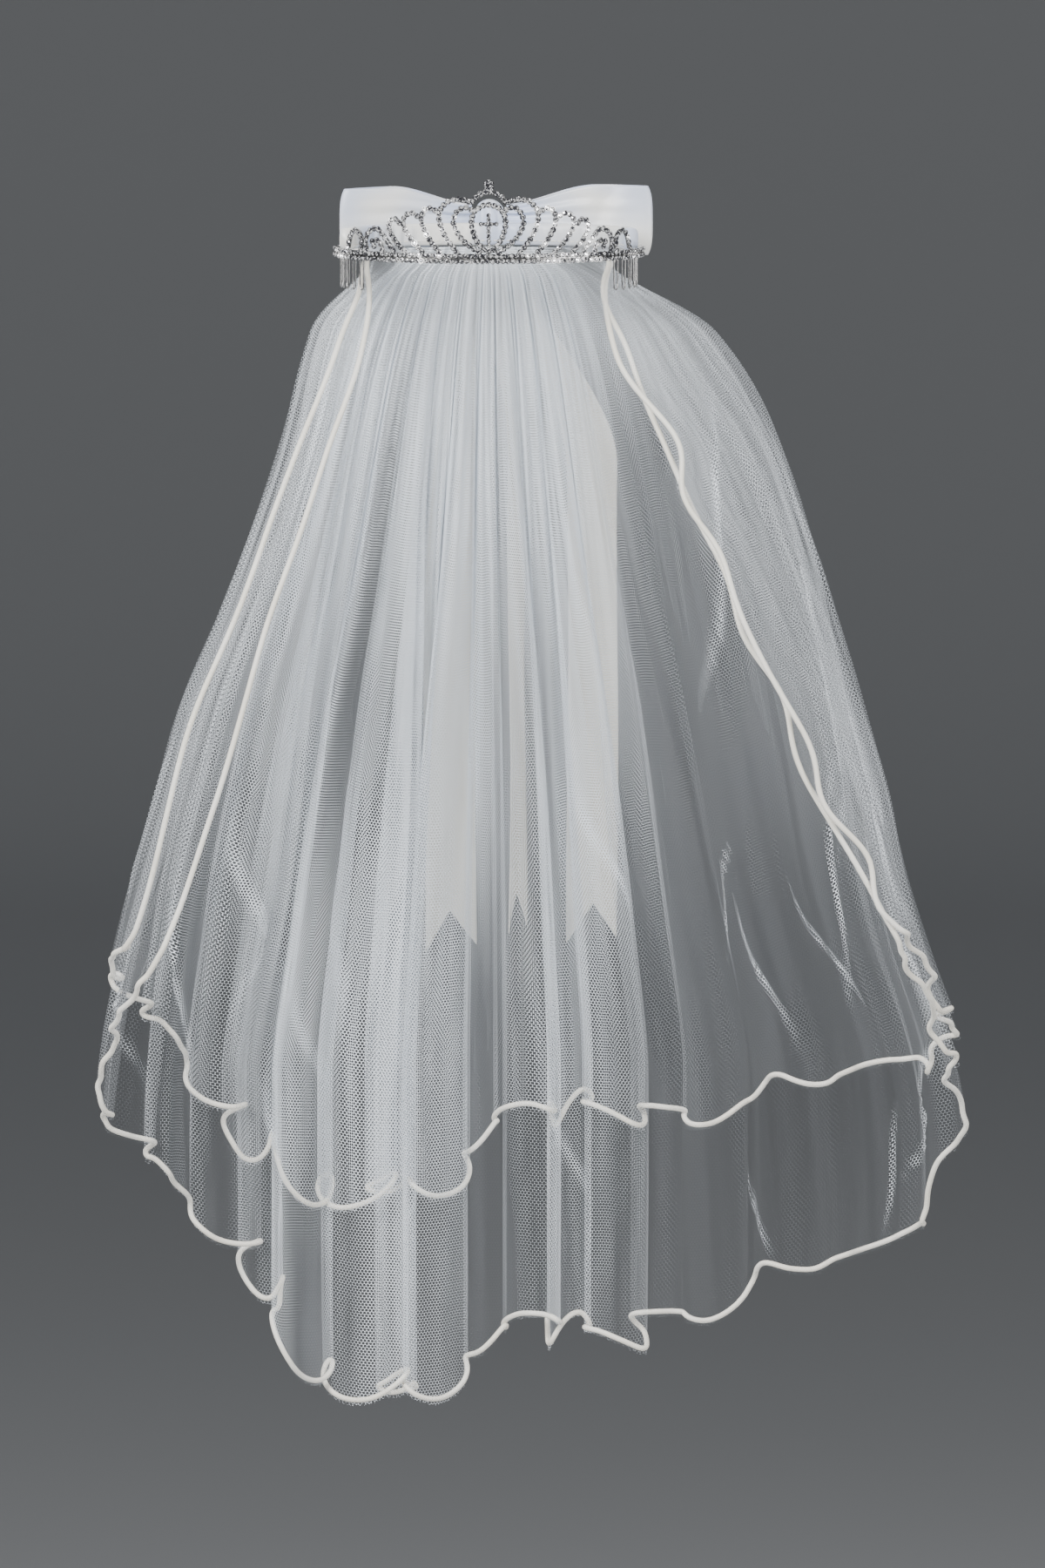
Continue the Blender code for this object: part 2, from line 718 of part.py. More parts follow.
def under_bow(x, y):
    """The height just under the knot and the loops' inner ends, for a tail that starts at a place."""
    centre = knot_centre()
    near_x = toward(x, 0.0, TAIL_TOP_SHARE * RIBBON_WIDTH / 2)
    near_y = toward(y, centre[1], RIBBON_THICK / 2)
    inside = 1 - (near_x / KNOT_SIZE[0]) ** 2 - ((near_y - centre[1]) / KNOT_SIZE[1]) ** 2
    knot = centre[2] - KNOT_SIZE[2] * math.sqrt(max(inside, 0.0))
    loops = centre[2] - RIBBON_WIDTH / 2 * LOOP_PINCH - TAIL_UNDER_LOOP
    return min(knot, loops) - GAP


def make_tail(tail, satin):
    """A ribbon tail that hangs behind the net, turned as it hangs, with a notched end."""
    turn = math.radians(tail.turn_deg)
    start_x = tail.start_x * MM
    start_y = outside_back(start_x, 0) + TAIL_CLEAR + tail.stand * MM
    top = under_bow(start_x, start_y)
    lowest = -tail.drop * MM
    rows = []
    for level in np.linspace(0, 1, TAIL_STEPS + 1):
        z = top + (lowest - top) * level
        opened = ease(level * TAIL_OPEN_RATE)
        half = RIBBON_WIDTH / 2 * (TAIL_TOP_SHARE + (1 - TAIL_TOP_SHARE) * opened)
        angle = turn * ease(level * TAIL_TURN_RATE)
        x = start_x + (tail.end_x * MM - start_x) * opened
        wide = half * abs(math.cos(angle))
        drop = max(0.0, -z)
        back = max(outside_back(x + side * wide, drop) for side in (-1, 0, 1))
        y = back + TAIL_CLEAR + tail.stand * MM + half * math.sin(angle)
        notch = TAIL_NOTCH * level**NOTCH_SHARPNESS
        rows.append(
            [
                (x + k * half * math.cos(angle), y + k * half * math.sin(angle),
                 z + (notch * (1 - abs(k))))
                for k in (-1, -0.5, 0, 0.5, 1)
            ]
        )
    grid = np.array(rows)
    make_wall(tail.name, grid.reshape(-1, 3), grid_faces(*grid.shape[:2]), RIBBON_THICK, satin)


def build():
    clear_scene()
    net = make_material("white_net", (0.86, 0.89, 0.92), 0.8, alpha=0.45)
    cord = make_material("ivory_cord", (0.9, 0.87, 0.78), 0.45)
    satin = make_material("white_satin", (0.92, 0.92, 0.93), 0.35)
    metal = make_material("silver_metal", (0.62, 0.61, 0.6), 0.22, metallic=1.0)
    make_layer("long", LONG_HEM, 0, False, net, cord)
    make_layer("short", SHORT_HEM, FIRST_FOLD_OF_SHORT, True, net, cord)
    make_header(satin)
    make_knot(satin)
    for loop in LOOPS:
        make_loop(loop, satin)
    for tail in TAILS:
        make_tail(tail, satin)
    make_band(metal)
    make_comb("side_comb_left", -1, metal)
    make_comb("side_comb_right", 1, metal)
    make_scrolls(metal)
    make_egg(metal)
    make_cross(metal)
    make_crown(metal)


build()
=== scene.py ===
"""The looks of the bridal veil: sheer net layers with satin edge cords, a satin header and bow,
and a wire tiara set with small stones. Metres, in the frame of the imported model."""

import math
from collections import namedtuple

import bmesh
import bpy
import numpy as np
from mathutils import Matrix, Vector


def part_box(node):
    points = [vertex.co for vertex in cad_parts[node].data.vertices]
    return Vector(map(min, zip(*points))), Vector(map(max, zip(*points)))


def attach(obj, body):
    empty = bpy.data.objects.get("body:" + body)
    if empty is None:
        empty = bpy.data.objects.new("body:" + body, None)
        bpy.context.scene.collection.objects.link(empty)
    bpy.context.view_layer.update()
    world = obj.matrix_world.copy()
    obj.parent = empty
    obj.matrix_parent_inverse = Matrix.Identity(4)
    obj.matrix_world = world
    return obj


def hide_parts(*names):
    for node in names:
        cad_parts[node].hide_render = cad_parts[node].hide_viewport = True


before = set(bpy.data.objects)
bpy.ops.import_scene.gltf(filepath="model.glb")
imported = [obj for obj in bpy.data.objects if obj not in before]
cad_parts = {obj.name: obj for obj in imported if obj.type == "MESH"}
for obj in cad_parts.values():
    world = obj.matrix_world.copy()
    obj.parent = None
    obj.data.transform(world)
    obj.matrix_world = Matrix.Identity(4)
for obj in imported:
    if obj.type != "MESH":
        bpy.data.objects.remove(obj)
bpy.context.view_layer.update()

MM = 0.001
BODY = "root"


def table(columns, *rows):
    """Rows of values whose columns have names."""
    Row = namedtuple("Row", columns)
    return tuple(Row(*row) for row in rows)


# Form of the net, in the same sizes as its solids: a row for each level, each fold and each length
# of the hem. Millimetres, apart from shares.
SECTIONS = table("drop left_edge left_side right_side right_edge front back",
    (0, -60, -64, 70, 57, 10, 43),
    (22, -60, -77, 91, 58, 3, 51),
    (50, -65, -86, 114, 68, -14, 62),
    (94, -80, -97, 138, 91, -34, 75),
    (138, -94, -112, 154, 108, -48, 86),
    (181, -110, -129, 167, 128, -58, 95),
    (225, -124, -148, 180, 146, -64, 101),
    (268, -136, -161, 193, 167, -68, 106),
    (312, -150, -174, 203, 188, -72, 110),
    (349, -166, -183, 214, 208, -76, 113),
    (403, -180, -194, 234, 222, -76, 117),
    (593, -186, -196, 236, 226, -76, 124),
)
SIDE_SHARE = 0.45

FOLDS = table("share depth lean dip",
    (0.040, 3, 0, 2),
    (0.062, 5, 3, -4),
    (0.056, 8, -4, 5),
    (0.048, 10, 4, 3),
    (0.042, 12, -4, -5),
    (0.036, 14, 5, 6),
    (0.034, 16, 7, 4),
    (0.036, 18, -7, 8),
    (0.034, 17, 6, 5),
    (0.030, 15, 4, -3),
    (0.034, 18, -6, 6),
    (0.030, 13, 4, -4),
    (0.030, 15, 5, -3),
    (0.032, 17, -5, 4),
    (0.032, 14, 4, 6),
    (0.034, 16, -6, -4),
    (0.048, 9, 3, 5),
    (0.064, 7, -3, -5),
    (0.068, 6, 3, -3),
    (0.062, 9, -5, 7),
    (0.052, 8, 4, -4),
    (0.048, 7, -3, 4),
    (0.048, 5, 2, -4),
)
HEM_LENGTH = 700

LONG_HEM = table("along drop",
    (0.00, 344), (0.06, 386), (0.13, 425), (0.20, 455), (0.30, 527), (0.36, 574),
    (0.42, 588), (0.46, 568), (0.50, 551), (0.55, 557), (0.61, 547), (0.70, 522),
    (0.80, 488), (0.87, 420), (0.94, 375), (1.00, 330),
)
SHORT_HEM = table("along drop",
    (0.04, 338), (0.13, 356), (0.20, 384), (0.25, 418), (0.30, 456), (0.36, 477),
    (0.42, 484), (0.46, 464), (0.50, 443), (0.55, 441), (0.61, 445), (0.70, 427),
    (0.80, 407), (0.87, 386), (0.94, 358), (1.00, 325),
)

TIARA_HALF_WIDTH = 75 * MM
TIARA_REACH = 50 * MM
HEADER_THICK = 7.4 * MM
HEADER_HEIGHT = 11 * MM
HEADER_HALF_WIDTH = 70.2 * MM
HEADER_BACK = 36 * MM
HEADER_FRONT = 2 * MM
HEADER_END_DEG = 88
GATHER_END_DEG = 58
STITCH_HEIGHT = 2.4 * MM
STITCH_SIZES = {"Pitch": 3.2 * MM, "Length": 1.9 * MM, "Radius": 0.24 * MM}
STITCH_SIDES = 6
GATHER_INSET = 1.4 * MM
NET_SEAT = 0.8 * MM
HALF_NET = 0.5 * MM
FLARE_DROP = 42 * MM
SPREAD_DROP = 230 * MM
DEEPEN_DROP = 330 * MM
TOP_FOLD_DEPTH = 0.8 * MM
LAYER_SPACE_TOP = 3.5 * MM
LAYER_SPACE_LOW = 5.6 * MM
CORD_RADIUS = 1.35 * MM
CORD_SEAT = 1.9 * MM
CORD_STEP = 1.6 * MM
CORD_SOFTENING = 5

# What the finer net adds to its solids' form.
MOST_DEPTH_SHARE = 0.85
LEAN_GAIN = 2.1
MOST_LEAN_RATIO = 0.8
FEWEST_COLUMNS = 24
COLUMN_STEP = 1.8 * MM
ROWS = 124
ROW_CROWDING = 1.15
CLOTH_PERCENTILE = 62
LEVELS = 140
SHARES = 500
HEM_LEVEL = int(LEVELS * 0.86)
FAN_STEP = 0.25
FAN_FROM, FAN_TO, FAN_BLEND = 3.5, 19.5, 3
LEAST_FLARE = 0.5
DEEPEST = 640 * MM
TRIM = 2.6 * MM
TRIM_SHARES = (1 / 3, 2 / 3, 1)

# Gathers too small for a fold of their own: how many to a fold, phase, and share of their height.
FINE_GATHERS = table("rate phase size", (2.3, 0.4, 0.5), (3.7, 1.9, 0.35), (5.6, 3.1, 0.25))
GATHER_START = 24 * MM
GATHER_SIZE = 1.5 * MM
GATHER_GROWTH = 0.7 * MM

CREASE_NARROWING = 0.62
CREASE_BOW = 0.025
EDGE_WAVE_FOLDS = 0.8
EDGE_WAVE_START = 60 * MM
OPEN_START = 30 * MM
LEAST_OPEN = 0.35

# Creases laid in the net: layer, then the fold and the drop in millimetres where the crease
# starts and ends, and its height and width in millimetres. A minus height is a trough.
CREASES = table("layer fold drop end_fold end_drop height width",
    ("long", 18.4, 60, 17.2, 250, 2.6, 2.2),
    ("long", 19.6, 90, 18.6, 330, -2.2, 2.0),
    ("long", 17.6, 300, 16.6, 372, 2.4, 1.7),
    ("long", 17.9, 318, 18.6, 392, 2.2, 1.6),
    ("long", 20.1, 250, 19.7, 400, 2.6, 1.8),
    ("long", 19.9, 395, 18.7, 478, 2.8, 1.9),
    ("long", 18.8, 430, 18.5, 505, 2.4, 1.7),
    ("long", 16.9, 470, 17.5, 522, -2.6, 2.1),
    ("long", 21.6, 330, 21.1, 392, 2.0, 1.6),
    ("long", 6.4, 405, 7.0, 560, 2.2, 1.8),
    ("long", 7.6, 330, 8.1, 540, 1.9, 1.6),
    ("long", 4.2, 300, 5.0, 470, 2.4, 1.9),
    ("long", 2.5, 330, 3.5, 430, 2.2, 1.8),
    ("long", 13.4, 410, 14.0, 540, 2.1, 1.8),
    ("long", 9.8, 440, 10.3, 545, -1.9, 1.7),
    ("short", 18.9, 250, 18.3, 395, 2.2, 1.8),
    ("short", 17.2, 330, 17.6, 418, 2.0, 1.6),
    ("short", 20.6, 180, 20.1, 360, -2.0, 1.8),
    ("short", 5.3, 260, 5.9, 440, 2.2, 1.7),
    ("short", 3.4, 210, 2.9, 350, 2.0, 1.7),
    ("short", 8.4, 250, 8.0, 455, 1.8, 1.6),
    ("short", 14.4, 240, 14.9, 420, 1.8, 1.6),
)

# Sideways waves of each front edge: layer, edge, amplitude, wave length and phase, in millimetres.
WAVES = table("layer edge size length phase",
    ("long", "left", 0.9, 150, 0.3),
    ("short", "left", 3.6, 92, 0.8),
    ("long", "right", 3.0, 84, 0.1),
    ("short", "right", 3.4, 71, 0.6),
)

# How the finer net opens each fold into a pleat wider than its neck: fold, share of its width that
# each side of the pleat swings out, and share of the fold's depth that it keeps.
PLEATS = {
    2: (0.10, 1.0), 3: (0.17, 1.15), 4: (0.10, 0.8), 5: (0.26, 1.2), 6: (0.12, 0.6), 7: (0.30, 1.15),
    8: (0.46, 1.3), 9: (0.14, 0.55), 10: (0.34, 1.25), 11: (0.14, 0.6), 12: (0.38, 1.25), 13: (0.13, 0.55),
    14: (0.42, 1.3), 15: (0.18, 0.7), 16: (0.17, 1.1), 17: (0.08, 1.0), 20: (0.12, 1.1),
}

# Extra curl of the hem, fold by fold: how far the hem swings up and down across the fold.
CURLS = {
    2: 3, 4: -4, 5: 5, 6: 14, 7: -15, 8: 13, 9: 4, 10: -9, 11: 6, 12: -5, 13: 13, 14: -6, 16: 5, 17: -6,
    19: 8, 21: 5,
}

# How close the gathers lie round the cloth: fold place, share high in the cloth and share low in it.
BUNCHES = table("fold high low",
    (0, 0.9, 0.8), (4, 0.8, 0.7), (5, 0.85, 0.6), (5.6, 0.8, 0.5), (6.2, 1.2, 0.6),
    (6.9, 1.3, 1.2), (7.4, 0.4, 1.3), (7.8, 0.15, 1.4), (8.2, 0.5, 1.9),
    (8.7, 1.9, 2.1), (9.5, 1.5, 1.8), (10.3, 1.7, 2.0), (10.8, 1.1, 1.1),
    (11.1, 2.4, 0.35), (11.6, 1.2, 0.2), (12.1, 0.6, 0.3), (12.6, 1.0, 1.2),
    (13.4, 1.2, 1.4), (14.1, 1.3, 1.3), (14.5, 1.1, 0.4), (15.5, 0.8, 0.25),
    (16.3, 0.3, 0.25), (17, 0.2, 0.25), (17.8, 0.65, 0.4), (19, 0.9, 0.7),
    (21, 1.0, 0.8), (23, 0.9, 0.9),
)

# Close and open stripes of the net: width in millimetres and strength.
STREAKS = table("width size", (2.2, 0.26), (5, 0.34), (14, 0.42))
STREAK_PLACES = 4096
STREAK_STEP = 0.4 * MM
STREAK_WANDER = 12 * MM
STREAK_CHANGE_DROP = 450 * MM
STREAK_LIMITS = (0.3, 2.2)

# Thicknesses of net that the finest gathers add: at the sides and in the middle below the header, in
# the middle lower down, and along a crease; and the share that the sides lose low in the cloth.
SIDE_GATHERS, MIDDLE_GATHERS, LOW_GATHERS, CREASE_GATHERS = 0.45, 8.6, 2.3, 6.5
SIDE_LOSS = 0.42
STEEP_SHARE = 0.38
LEAST_FACING = 0.22

PALE_NET = (0.88, 0.925, 0.975)
IVORY = (0.90, 0.875, 0.80)
CORD_SHADE = (0.84, 0.80, 0.70)
BOW_WHITE = (0.84, 0.83, 0.79)
# The bow ribbon's darker colour below is a painted shade, mixed into its satin at random.
BOW_PAINTED_SHADE = (0.55, 0.61, 0.76)
TAIL_SHADE = (0.84, 0.81, 0.73)
SILVER = (0.70, 0.70, 0.69)
DARK_GREY_SILVER = (0.16, 0.16, 0.17)
BRIGHT_SILVER = (0.55, 0.54, 0.52)
# Painted dark reflection and painted glint, mixed at random over the stones' facets.
PAINTED_DARK_REFLECTION = (0.06, 0.06, 0.07)
PAINTED_GLINT = (1.0, 1.0, 1.0)

# Threads of the net and weave of the satin. A place where the net is single covers NET_COVER, its
# drawn threads never cover less than THREAD_COVER, and THREAD_LEVELS turns a cover into the height
# at which the net's waves are cut: at none, for each share, and for its cube.
NET_PITCH = 1.65 * MM
NET_COVER = 0.08
THREAD_COVER = 0.24
THREAD_LEVELS = (-1.25, 0.6, 3.75)
THREAD_SOFTNESS = 0.22
NET_ROUGHNESS = 0.6
RIBBON_WEAVE = 0.3 * MM
CORD_WEAVE = 0.7 * MM
WEAVE_HEIGHT = 0.6 * MM


def ease(t):
    t = np.clip(t, 0.0, 1.0)
    return t * t * (3 - 2 * t)


def smooth_read(places, values, at):
    """Reads a table at the given places, on a smooth line through its rows."""
    places, values = np.array(places, float), np.array(values, float)
    at = np.clip(at, places[0], places[-1])
    i = np.clip(np.searchsorted(places, at) - 1, 0, len(places) - 2)
    slopes = np.gradient(values, places)
    width = places[i + 1] - places[i]
    t = (at - places[i]) / width
    return (
        (2 * t**3 - 3 * t**2 + 1) * values[i]
        + (t**3 - 2 * t**2 + t) * width * slopes[i]
        + (3 * t**2 - 2 * t**3) * values[i + 1]
        + (t**3 - t**2) * width * slopes[i + 1]
    )


def smooth_path(points, steps):
    points = np.array(points, float)
    places = np.arange(len(points))
    at = np.linspace(0, len(points) - 1, steps * (len(points) - 1) + 1)
    return np.array([smooth_read(places, points[:, axis], at) for axis in range(points.shape[1])]).T


def unit_rows(vectors):
    return vectors / np.maximum(np.linalg.norm(vectors, axis=-1, keepdims=True), 1e-12)


def level_curve(drop, steps=24):
    """Plan points round one level, from the left front edge by the back to the right one."""
    drops = [row.drop * MM for row in SECTIONS]
    values = [smooth_read(drops, [row[i] * MM for row in SECTIONS], drop) for i in range(7)]
    row = SECTIONS[0]._make(values)
    middle = (row.left_side + row.right_side) / 2
    side_y = row.front + SIDE_SHARE * (row.back - row.front)
    a = np.linspace(0, math.pi / 2, steps)
    b = a[1:]
    x = np.concatenate([
        row.left_side + (row.left_edge - row.left_side) * (1 - np.cos(a[::-1])),
        middle + (row.left_side - middle) * np.cos(b),
        middle + (row.right_side - middle) * np.sin(b),
        row.right_side + (row.right_edge - row.right_side) * (1 - np.cos(b)),
    ])
    y = np.concatenate([
        side_y + (row.front - side_y) * np.sin(a[::-1]),
        side_y + (row.back - side_y) * np.sin(b),
        side_y + (row.back - side_y) * np.cos(b),
        side_y + (row.front - side_y) * np.sin(b),
    ])
    return np.stack([x, y], axis=1)


def lengths_along(path):
    return np.concatenate([[0], np.cumsum(np.linalg.norm(np.diff(path, axis=0), axis=1))])


def even_steps(curve, count):
    """The curve read at even shares of its length."""
    lengths = lengths_along(curve)
    at = np.linspace(0, lengths[-1], count)
    return np.stack([np.interp(at, lengths, values) for values in curve.T], axis=1)


def header_line(angles, inset=0.0):
    x = (HEADER_HALF_WIDTH - inset) * np.sin(angles)
    y = HEADER_FRONT + (HEADER_BACK - inset) * np.cos(angles)
    return np.stack([x, y], axis=-1)


FOLD_NUMBERS = np.arange(len(FOLDS) + 1)
HEM_EDGES = np.concatenate([[0], np.cumsum([f.share for f in FOLDS])])
HEM_EDGES = HEM_EDGES / HEM_EDGES[-1]
CLOTH = np.array([math.hypot(f.share * HEM_LENGTH, 2 * f.depth) for f in FOLDS]) * MM
CLOTH_EDGES = np.concatenate([[0], np.cumsum(CLOTH)])
TOP_EDGES = CLOTH_EDGES / CLOTH_EDGES[-1]
GATHER_ANGLES = np.radians(np.linspace(-GATHER_END_DEG, GATHER_END_DEG, 97))
GATHERS = even_steps(header_line(GATHER_ANGLES, GATHER_INSET), SHARES)
OUTLINE = np.array([even_steps(level_curve(d), SHARES) for d in np.linspace(0, DEEPEST, LEVELS)])


def read_outline(share, drop):
    """Plan points on the level curves, for arrays of shares and drops."""
    s = np.clip(share, 0, 1) * (SHARES - 1)
    d = np.clip(drop / DEEPEST, 0, 1) * (LEVELS - 1)
    si = np.minimum(s.astype(int), SHARES - 2)
    di = np.minimum(d.astype(int), LEVELS - 2)
    fs = (s - si)[..., None]
    fd = (d - di)[..., None]
    low = OUTLINE[di, si] * (1 - fs) + OUTLINE[di, si + 1] * fs
    high = OUTLINE[di + 1, si] * (1 - fs) + OUTLINE[di + 1, si + 1] * fs
    return low * (1 - fd) + high * fd


def flare_share(drop):
    """How far the net has flared from the header's line to the form's own."""
    return np.sin(math.pi / 2 * np.minimum(1.0, drop / FLARE_DROP))


def fan_shares():
    """Where each fold line lies round each level, so that the folds at the back fan out straight."""
    along = np.arange(0, len(FOLDS) + 0.01, FAN_STEP)
    top = np.interp(along, FOLD_NUMBERS, TOP_EDGES)
    hem = np.interp(along, FOLD_NUMBERS, HEM_EDGES)
    places = np.linspace(0, 1, SHARES)
    top_x = np.interp(top, places, GATHERS[:, 0])
    hem_x = np.interp(hem, places, OUTLINE[HEM_LEVEL, :, 0])
    widths = np.ptp(OUTLINE[:, :, 0], axis=1)
    gathered = np.ptp(GATHERS[:, 0])
    straight = ease((along - FAN_FROM) / FAN_BLEND) * ease((FAN_TO - along) / FAN_BLEND)
    rows = []
    for level, drop in enumerate(np.linspace(0, DEEPEST, LEVELS)):
        plain = top + (hem - top) * ease(drop / SPREAD_DROP)
        flare = max(LEAST_FLARE, float(flare_share(drop)))
        grown = min(1.0, (widths[level] - gathered) / (widths[HEM_LEVEL] - gathered))
        wanted = (top_x + (hem_x - top_x) * grown - top_x * (1 - flare)) / flare
        x = OUTLINE[level, :, 0]
        first, last = int(np.argmin(x)), int(np.argmax(x))
        found = np.interp(wanted, x[first : last + 1], places[first : last + 1])
        rows.append(np.maximum.accumulate(plain * (1 - straight) + found * straight))
    return along, np.array(rows)


FAN_ALONG, FAN = fan_shares()


def plan_place(along, drop):
    """Base points in plan, for arrays of fold places and drops."""
    along = np.clip(along, 0, len(FOLDS))
    top = np.interp(along, FOLD_NUMBERS, TOP_EDGES)
    at = np.minimum(along / FAN_STEP, len(FAN_ALONG) - 1.001)
    level = np.clip(drop / DEEPEST, 0, 1) * (LEVELS - 1.001)
    ai, li = at.astype(int), level.astype(int)
    fa, fl = at - ai, level - li
    low = FAN[li, ai] * (1 - fa) + FAN[li, ai + 1] * fa
    high = FAN[li + 1, ai] * (1 - fa) + FAN[li + 1, ai + 1] * fa
    share = low * (1 - fl) + high * fl
    flare = flare_share(drop)[..., None]
    places = np.linspace(0, 1, SHARES)
    gathered = np.stack([np.interp(top, places, GATHERS[:, axis]) for axis in (0, 1)], axis=-1)
    return gathered * (1 - flare) + read_outline(share, drop) * flare


def fine_gathers(along, drop):
    """Small uneven pleats between the main folds, strongest below the header."""
    wave = np.zeros_like(along)
    for row in FINE_GATHERS:
        wander = 0.7 * np.sin(along * 0.9 + row.phase) + 0.5 * np.sin(drop * 21 + along * 0.37 + row.phase)
        wave += row.size * np.sin(2 * math.pi * row.rate * along + 3 * wander)
    grown = GATHER_SIZE + GATHER_GROWTH * ease((drop - 0.05) / 0.2)
    return wave * ease(drop / GATHER_START) * grown


def layer_space(drop):
    """How far outside the long layer the short one hangs."""
    return LAYER_SPACE_TOP + (LAYER_SPACE_LOW - LAYER_SPACE_TOP) * ease(drop / (2 * FLARE_DROP))


def crease_marks(layer, along, drop):
    """Height of the listed creases, and how strongly each place lies on one."""
    height = np.zeros_like(along)
    mark = np.zeros_like(along)
    cloth_at = np.interp(along, FOLD_NUMBERS, HEM_EDGES) * HEM_LENGTH * MM
    for crease in CREASES:
        if crease.layer != layer:
            continue
        ends = np.interp([crease.fold, crease.end_fold], FOLD_NUMBERS, HEM_EDGES) * HEM_LENGTH * MM
        start = np.array([ends[0], crease.drop * MM])
        run = np.array([ends[1], crease.end_drop * MM]) - start
        length = np.linalg.norm(run)
        run = run / length
        off = np.stack([cloth_at, drop], axis=-1) - start
        t = (off @ run) / length
        bow = CREASE_BOW * length * np.sin(math.pi * np.clip(t, 0, 1) * 2)
        side = off[..., 0] * run[1] - off[..., 1] * run[0] + bow
        fade = ease(t * 3) * ease((1 - t) * 2.2)
        bell = np.exp(-((side / (crease.width * CREASE_NARROWING * MM)) ** 2)) * fade
        height += crease.height * MM * bell
        mark += bell
    return height, mark


def edge_waves(layer, along, drop):
    """Sideways swing near the two front edges."""
    swing = np.zeros_like(along)
    for wave in WAVES:
        if wave.layer != layer:
            continue
        from_edge = along if wave.edge == "left" else len(FOLDS) - along
        near = np.exp(-((from_edge / EDGE_WAVE_FOLDS) ** 2)) * ease(drop / EDGE_WAVE_START)
        turn = 2 * math.pi * (drop / (wave.length * MM) + wave.phase)
        uneven = 1 + 0.35 * np.sin(drop * 31 + wave.phase * 9)
        swing += wave.size * MM * uneven * np.sin(turn + 0.8 * np.sin(turn * 0.43)) * near
    return swing


def hem_length(layer, along):
    """How long the layer hangs at each fold place."""
    hem = LONG_HEM if layer == "long" else SHORT_HEM
    share = np.interp(along, FOLD_NUMBERS, HEM_EDGES)
    length = smooth_read([h.along for h in hem], [h.drop * MM for h in hem], share)
    fold = np.minimum(along.astype(int), len(FOLDS) - 1)
    t = along - fold
    dips = np.array([f.dip for f in FOLDS])[fold] * MM
    curls = np.array([CURLS.get(i, 0) for i in range(len(FOLDS))])[fold] * MM
    return length + dips * np.sin(math.pi * t) ** 2 + curls * np.sin(2 * math.pi * t) * np.sin(math.pi * t)


def net_form(layer, along, drop):
    """Points of a net layer, and how strongly its creases lie on them."""
    fold = np.minimum(along.astype(int), len(FOLDS) - 1)
    t = along - fold
    here = plan_place(along, drop)
    step = 0.1
    tangent = unit_rows(plan_place(along + step, drop) - plan_place(along - step, drop))
    outward = np.stack([-tangent[..., 1], tangent[..., 0]], axis=-1)
    width = np.linalg.norm(plan_place(fold + 1.0, drop) - plan_place(fold + 0.0, drop), axis=-1)
    grown = ease(drop / DEEPEN_DROP)
    full = np.array([f.depth for f in FOLDS])[fold] * MM * pleat_row(1)[fold]
    depth = np.minimum(TOP_FOLD_DEPTH + (full - TOP_FOLD_DEPTH) * grown, MOST_DEPTH_SHARE * width)
    ratios = np.array([LEAN_GAIN * f.lean / max(f.depth, 6) for f in FOLDS])
    ratios = np.clip(ratios, -MOST_LEAN_RATIO, MOST_LEAN_RATIO)
    ratio = smooth_read(FOLD_NUMBERS[:-1] + 0.5, ratios, along) * grown
    space = layer_space(drop) if layer == "short" else 0
    height, mark = crease_marks(layer, along, drop)
    swell = fine_gathers(along + (0.31 if layer == "short" else 0), drop) + height
    inward = depth * np.sin(math.pi * t) ** 2 - space
    opened = pleat_row(0)[fold] * (LEAST_OPEN + (1 - LEAST_OPEN) * grown) * ease(drop / OPEN_START)
    sideways = ratio * inward + edge_waves(layer, along, drop) - opened * width * np.sin(2 * math.pi * t)
    plan = here + outward * (swell - inward)[..., None] + tangent * sideways[..., None]
    points = np.concatenate([plan, (-NET_SEAT - drop)[..., None]], axis=-1)
    return points, mark


def pleat_row(column):
    return np.array([PLEATS.get(i, (0, 1.0))[column] for i in range(len(FOLDS))])


def first_fold(layer):
    return 1 if layer == "short" else 0


def net_grid(layer):
    """The layer's rows of points from the header to the hem, with the strip of net past the cords."""
    along = []
    for fold in range(first_fold(layer), len(FOLDS)):
        count = max(FEWEST_COLUMNS, int(CLOTH[fold] / COLUMN_STEP))
        along.append(fold + np.arange(count) / count)
    along = np.concatenate(along + [[len(FOLDS)]])
    shares = np.linspace(0, 1, ROWS) ** ROW_CROWDING
    length = hem_length(layer, along)
    drop = shares[:, None] * length[None, :]
    points, mark = net_form(layer, np.broadcast_to(along, drop.shape), drop)
    return along, drop, points, mark


def widen(points, amounts):
    """Adds rows past the hem and columns past both front edges, at these distances beyond them."""
    down = unit_rows(points[-1] - points[-4])
    rows = [points[-1] + down * amount for amount in amounts]
    points = np.concatenate([points, np.array(rows)])
    left = unit_rows(points[:, 0] - points[:, 3])
    right = unit_rows(points[:, -1] - points[:, -4])
    lefts = np.stack([points[:, 0] + left * amount for amount in amounts[::-1]], axis=1)
    rights = np.stack([points[:, -1] + right * amount for amount in amounts], axis=1)
    return np.concatenate([lefts, points, rights], axis=1)


def add_piece(name, points, faces, material, smooth=True):
    mesh = bpy.data.meshes.new(name)
    mesh.from_pydata(np.asarray(points).tolist(), [], [tuple(int(i) for i in f) for f in faces])
    mesh.materials.append(material)
    if smooth:
        mesh.shade_smooth()
    piece = bpy.data.objects.new(name, mesh)
    bpy.context.scene.collection.objects.link(piece)
    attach(piece, BODY)
    return piece


def face_out(piece):
    """Turns a closed piece's faces outwards."""
    work = bmesh.new()
    work.from_mesh(piece.data)
    bmesh.ops.recalc_face_normals(work, faces=work.faces)
    work.to_mesh(piece.data)
    work.free()


def grid_faces(rows, columns, ring=False):
    faces = []
    for r in range(rows - 1):
        for c in range(columns if ring else columns - 1):
            after = (c + 1) % columns
            low, high = r * columns, (r + 1) * columns
            faces.append((low + c, low + after, high + after, high + c))
    return faces


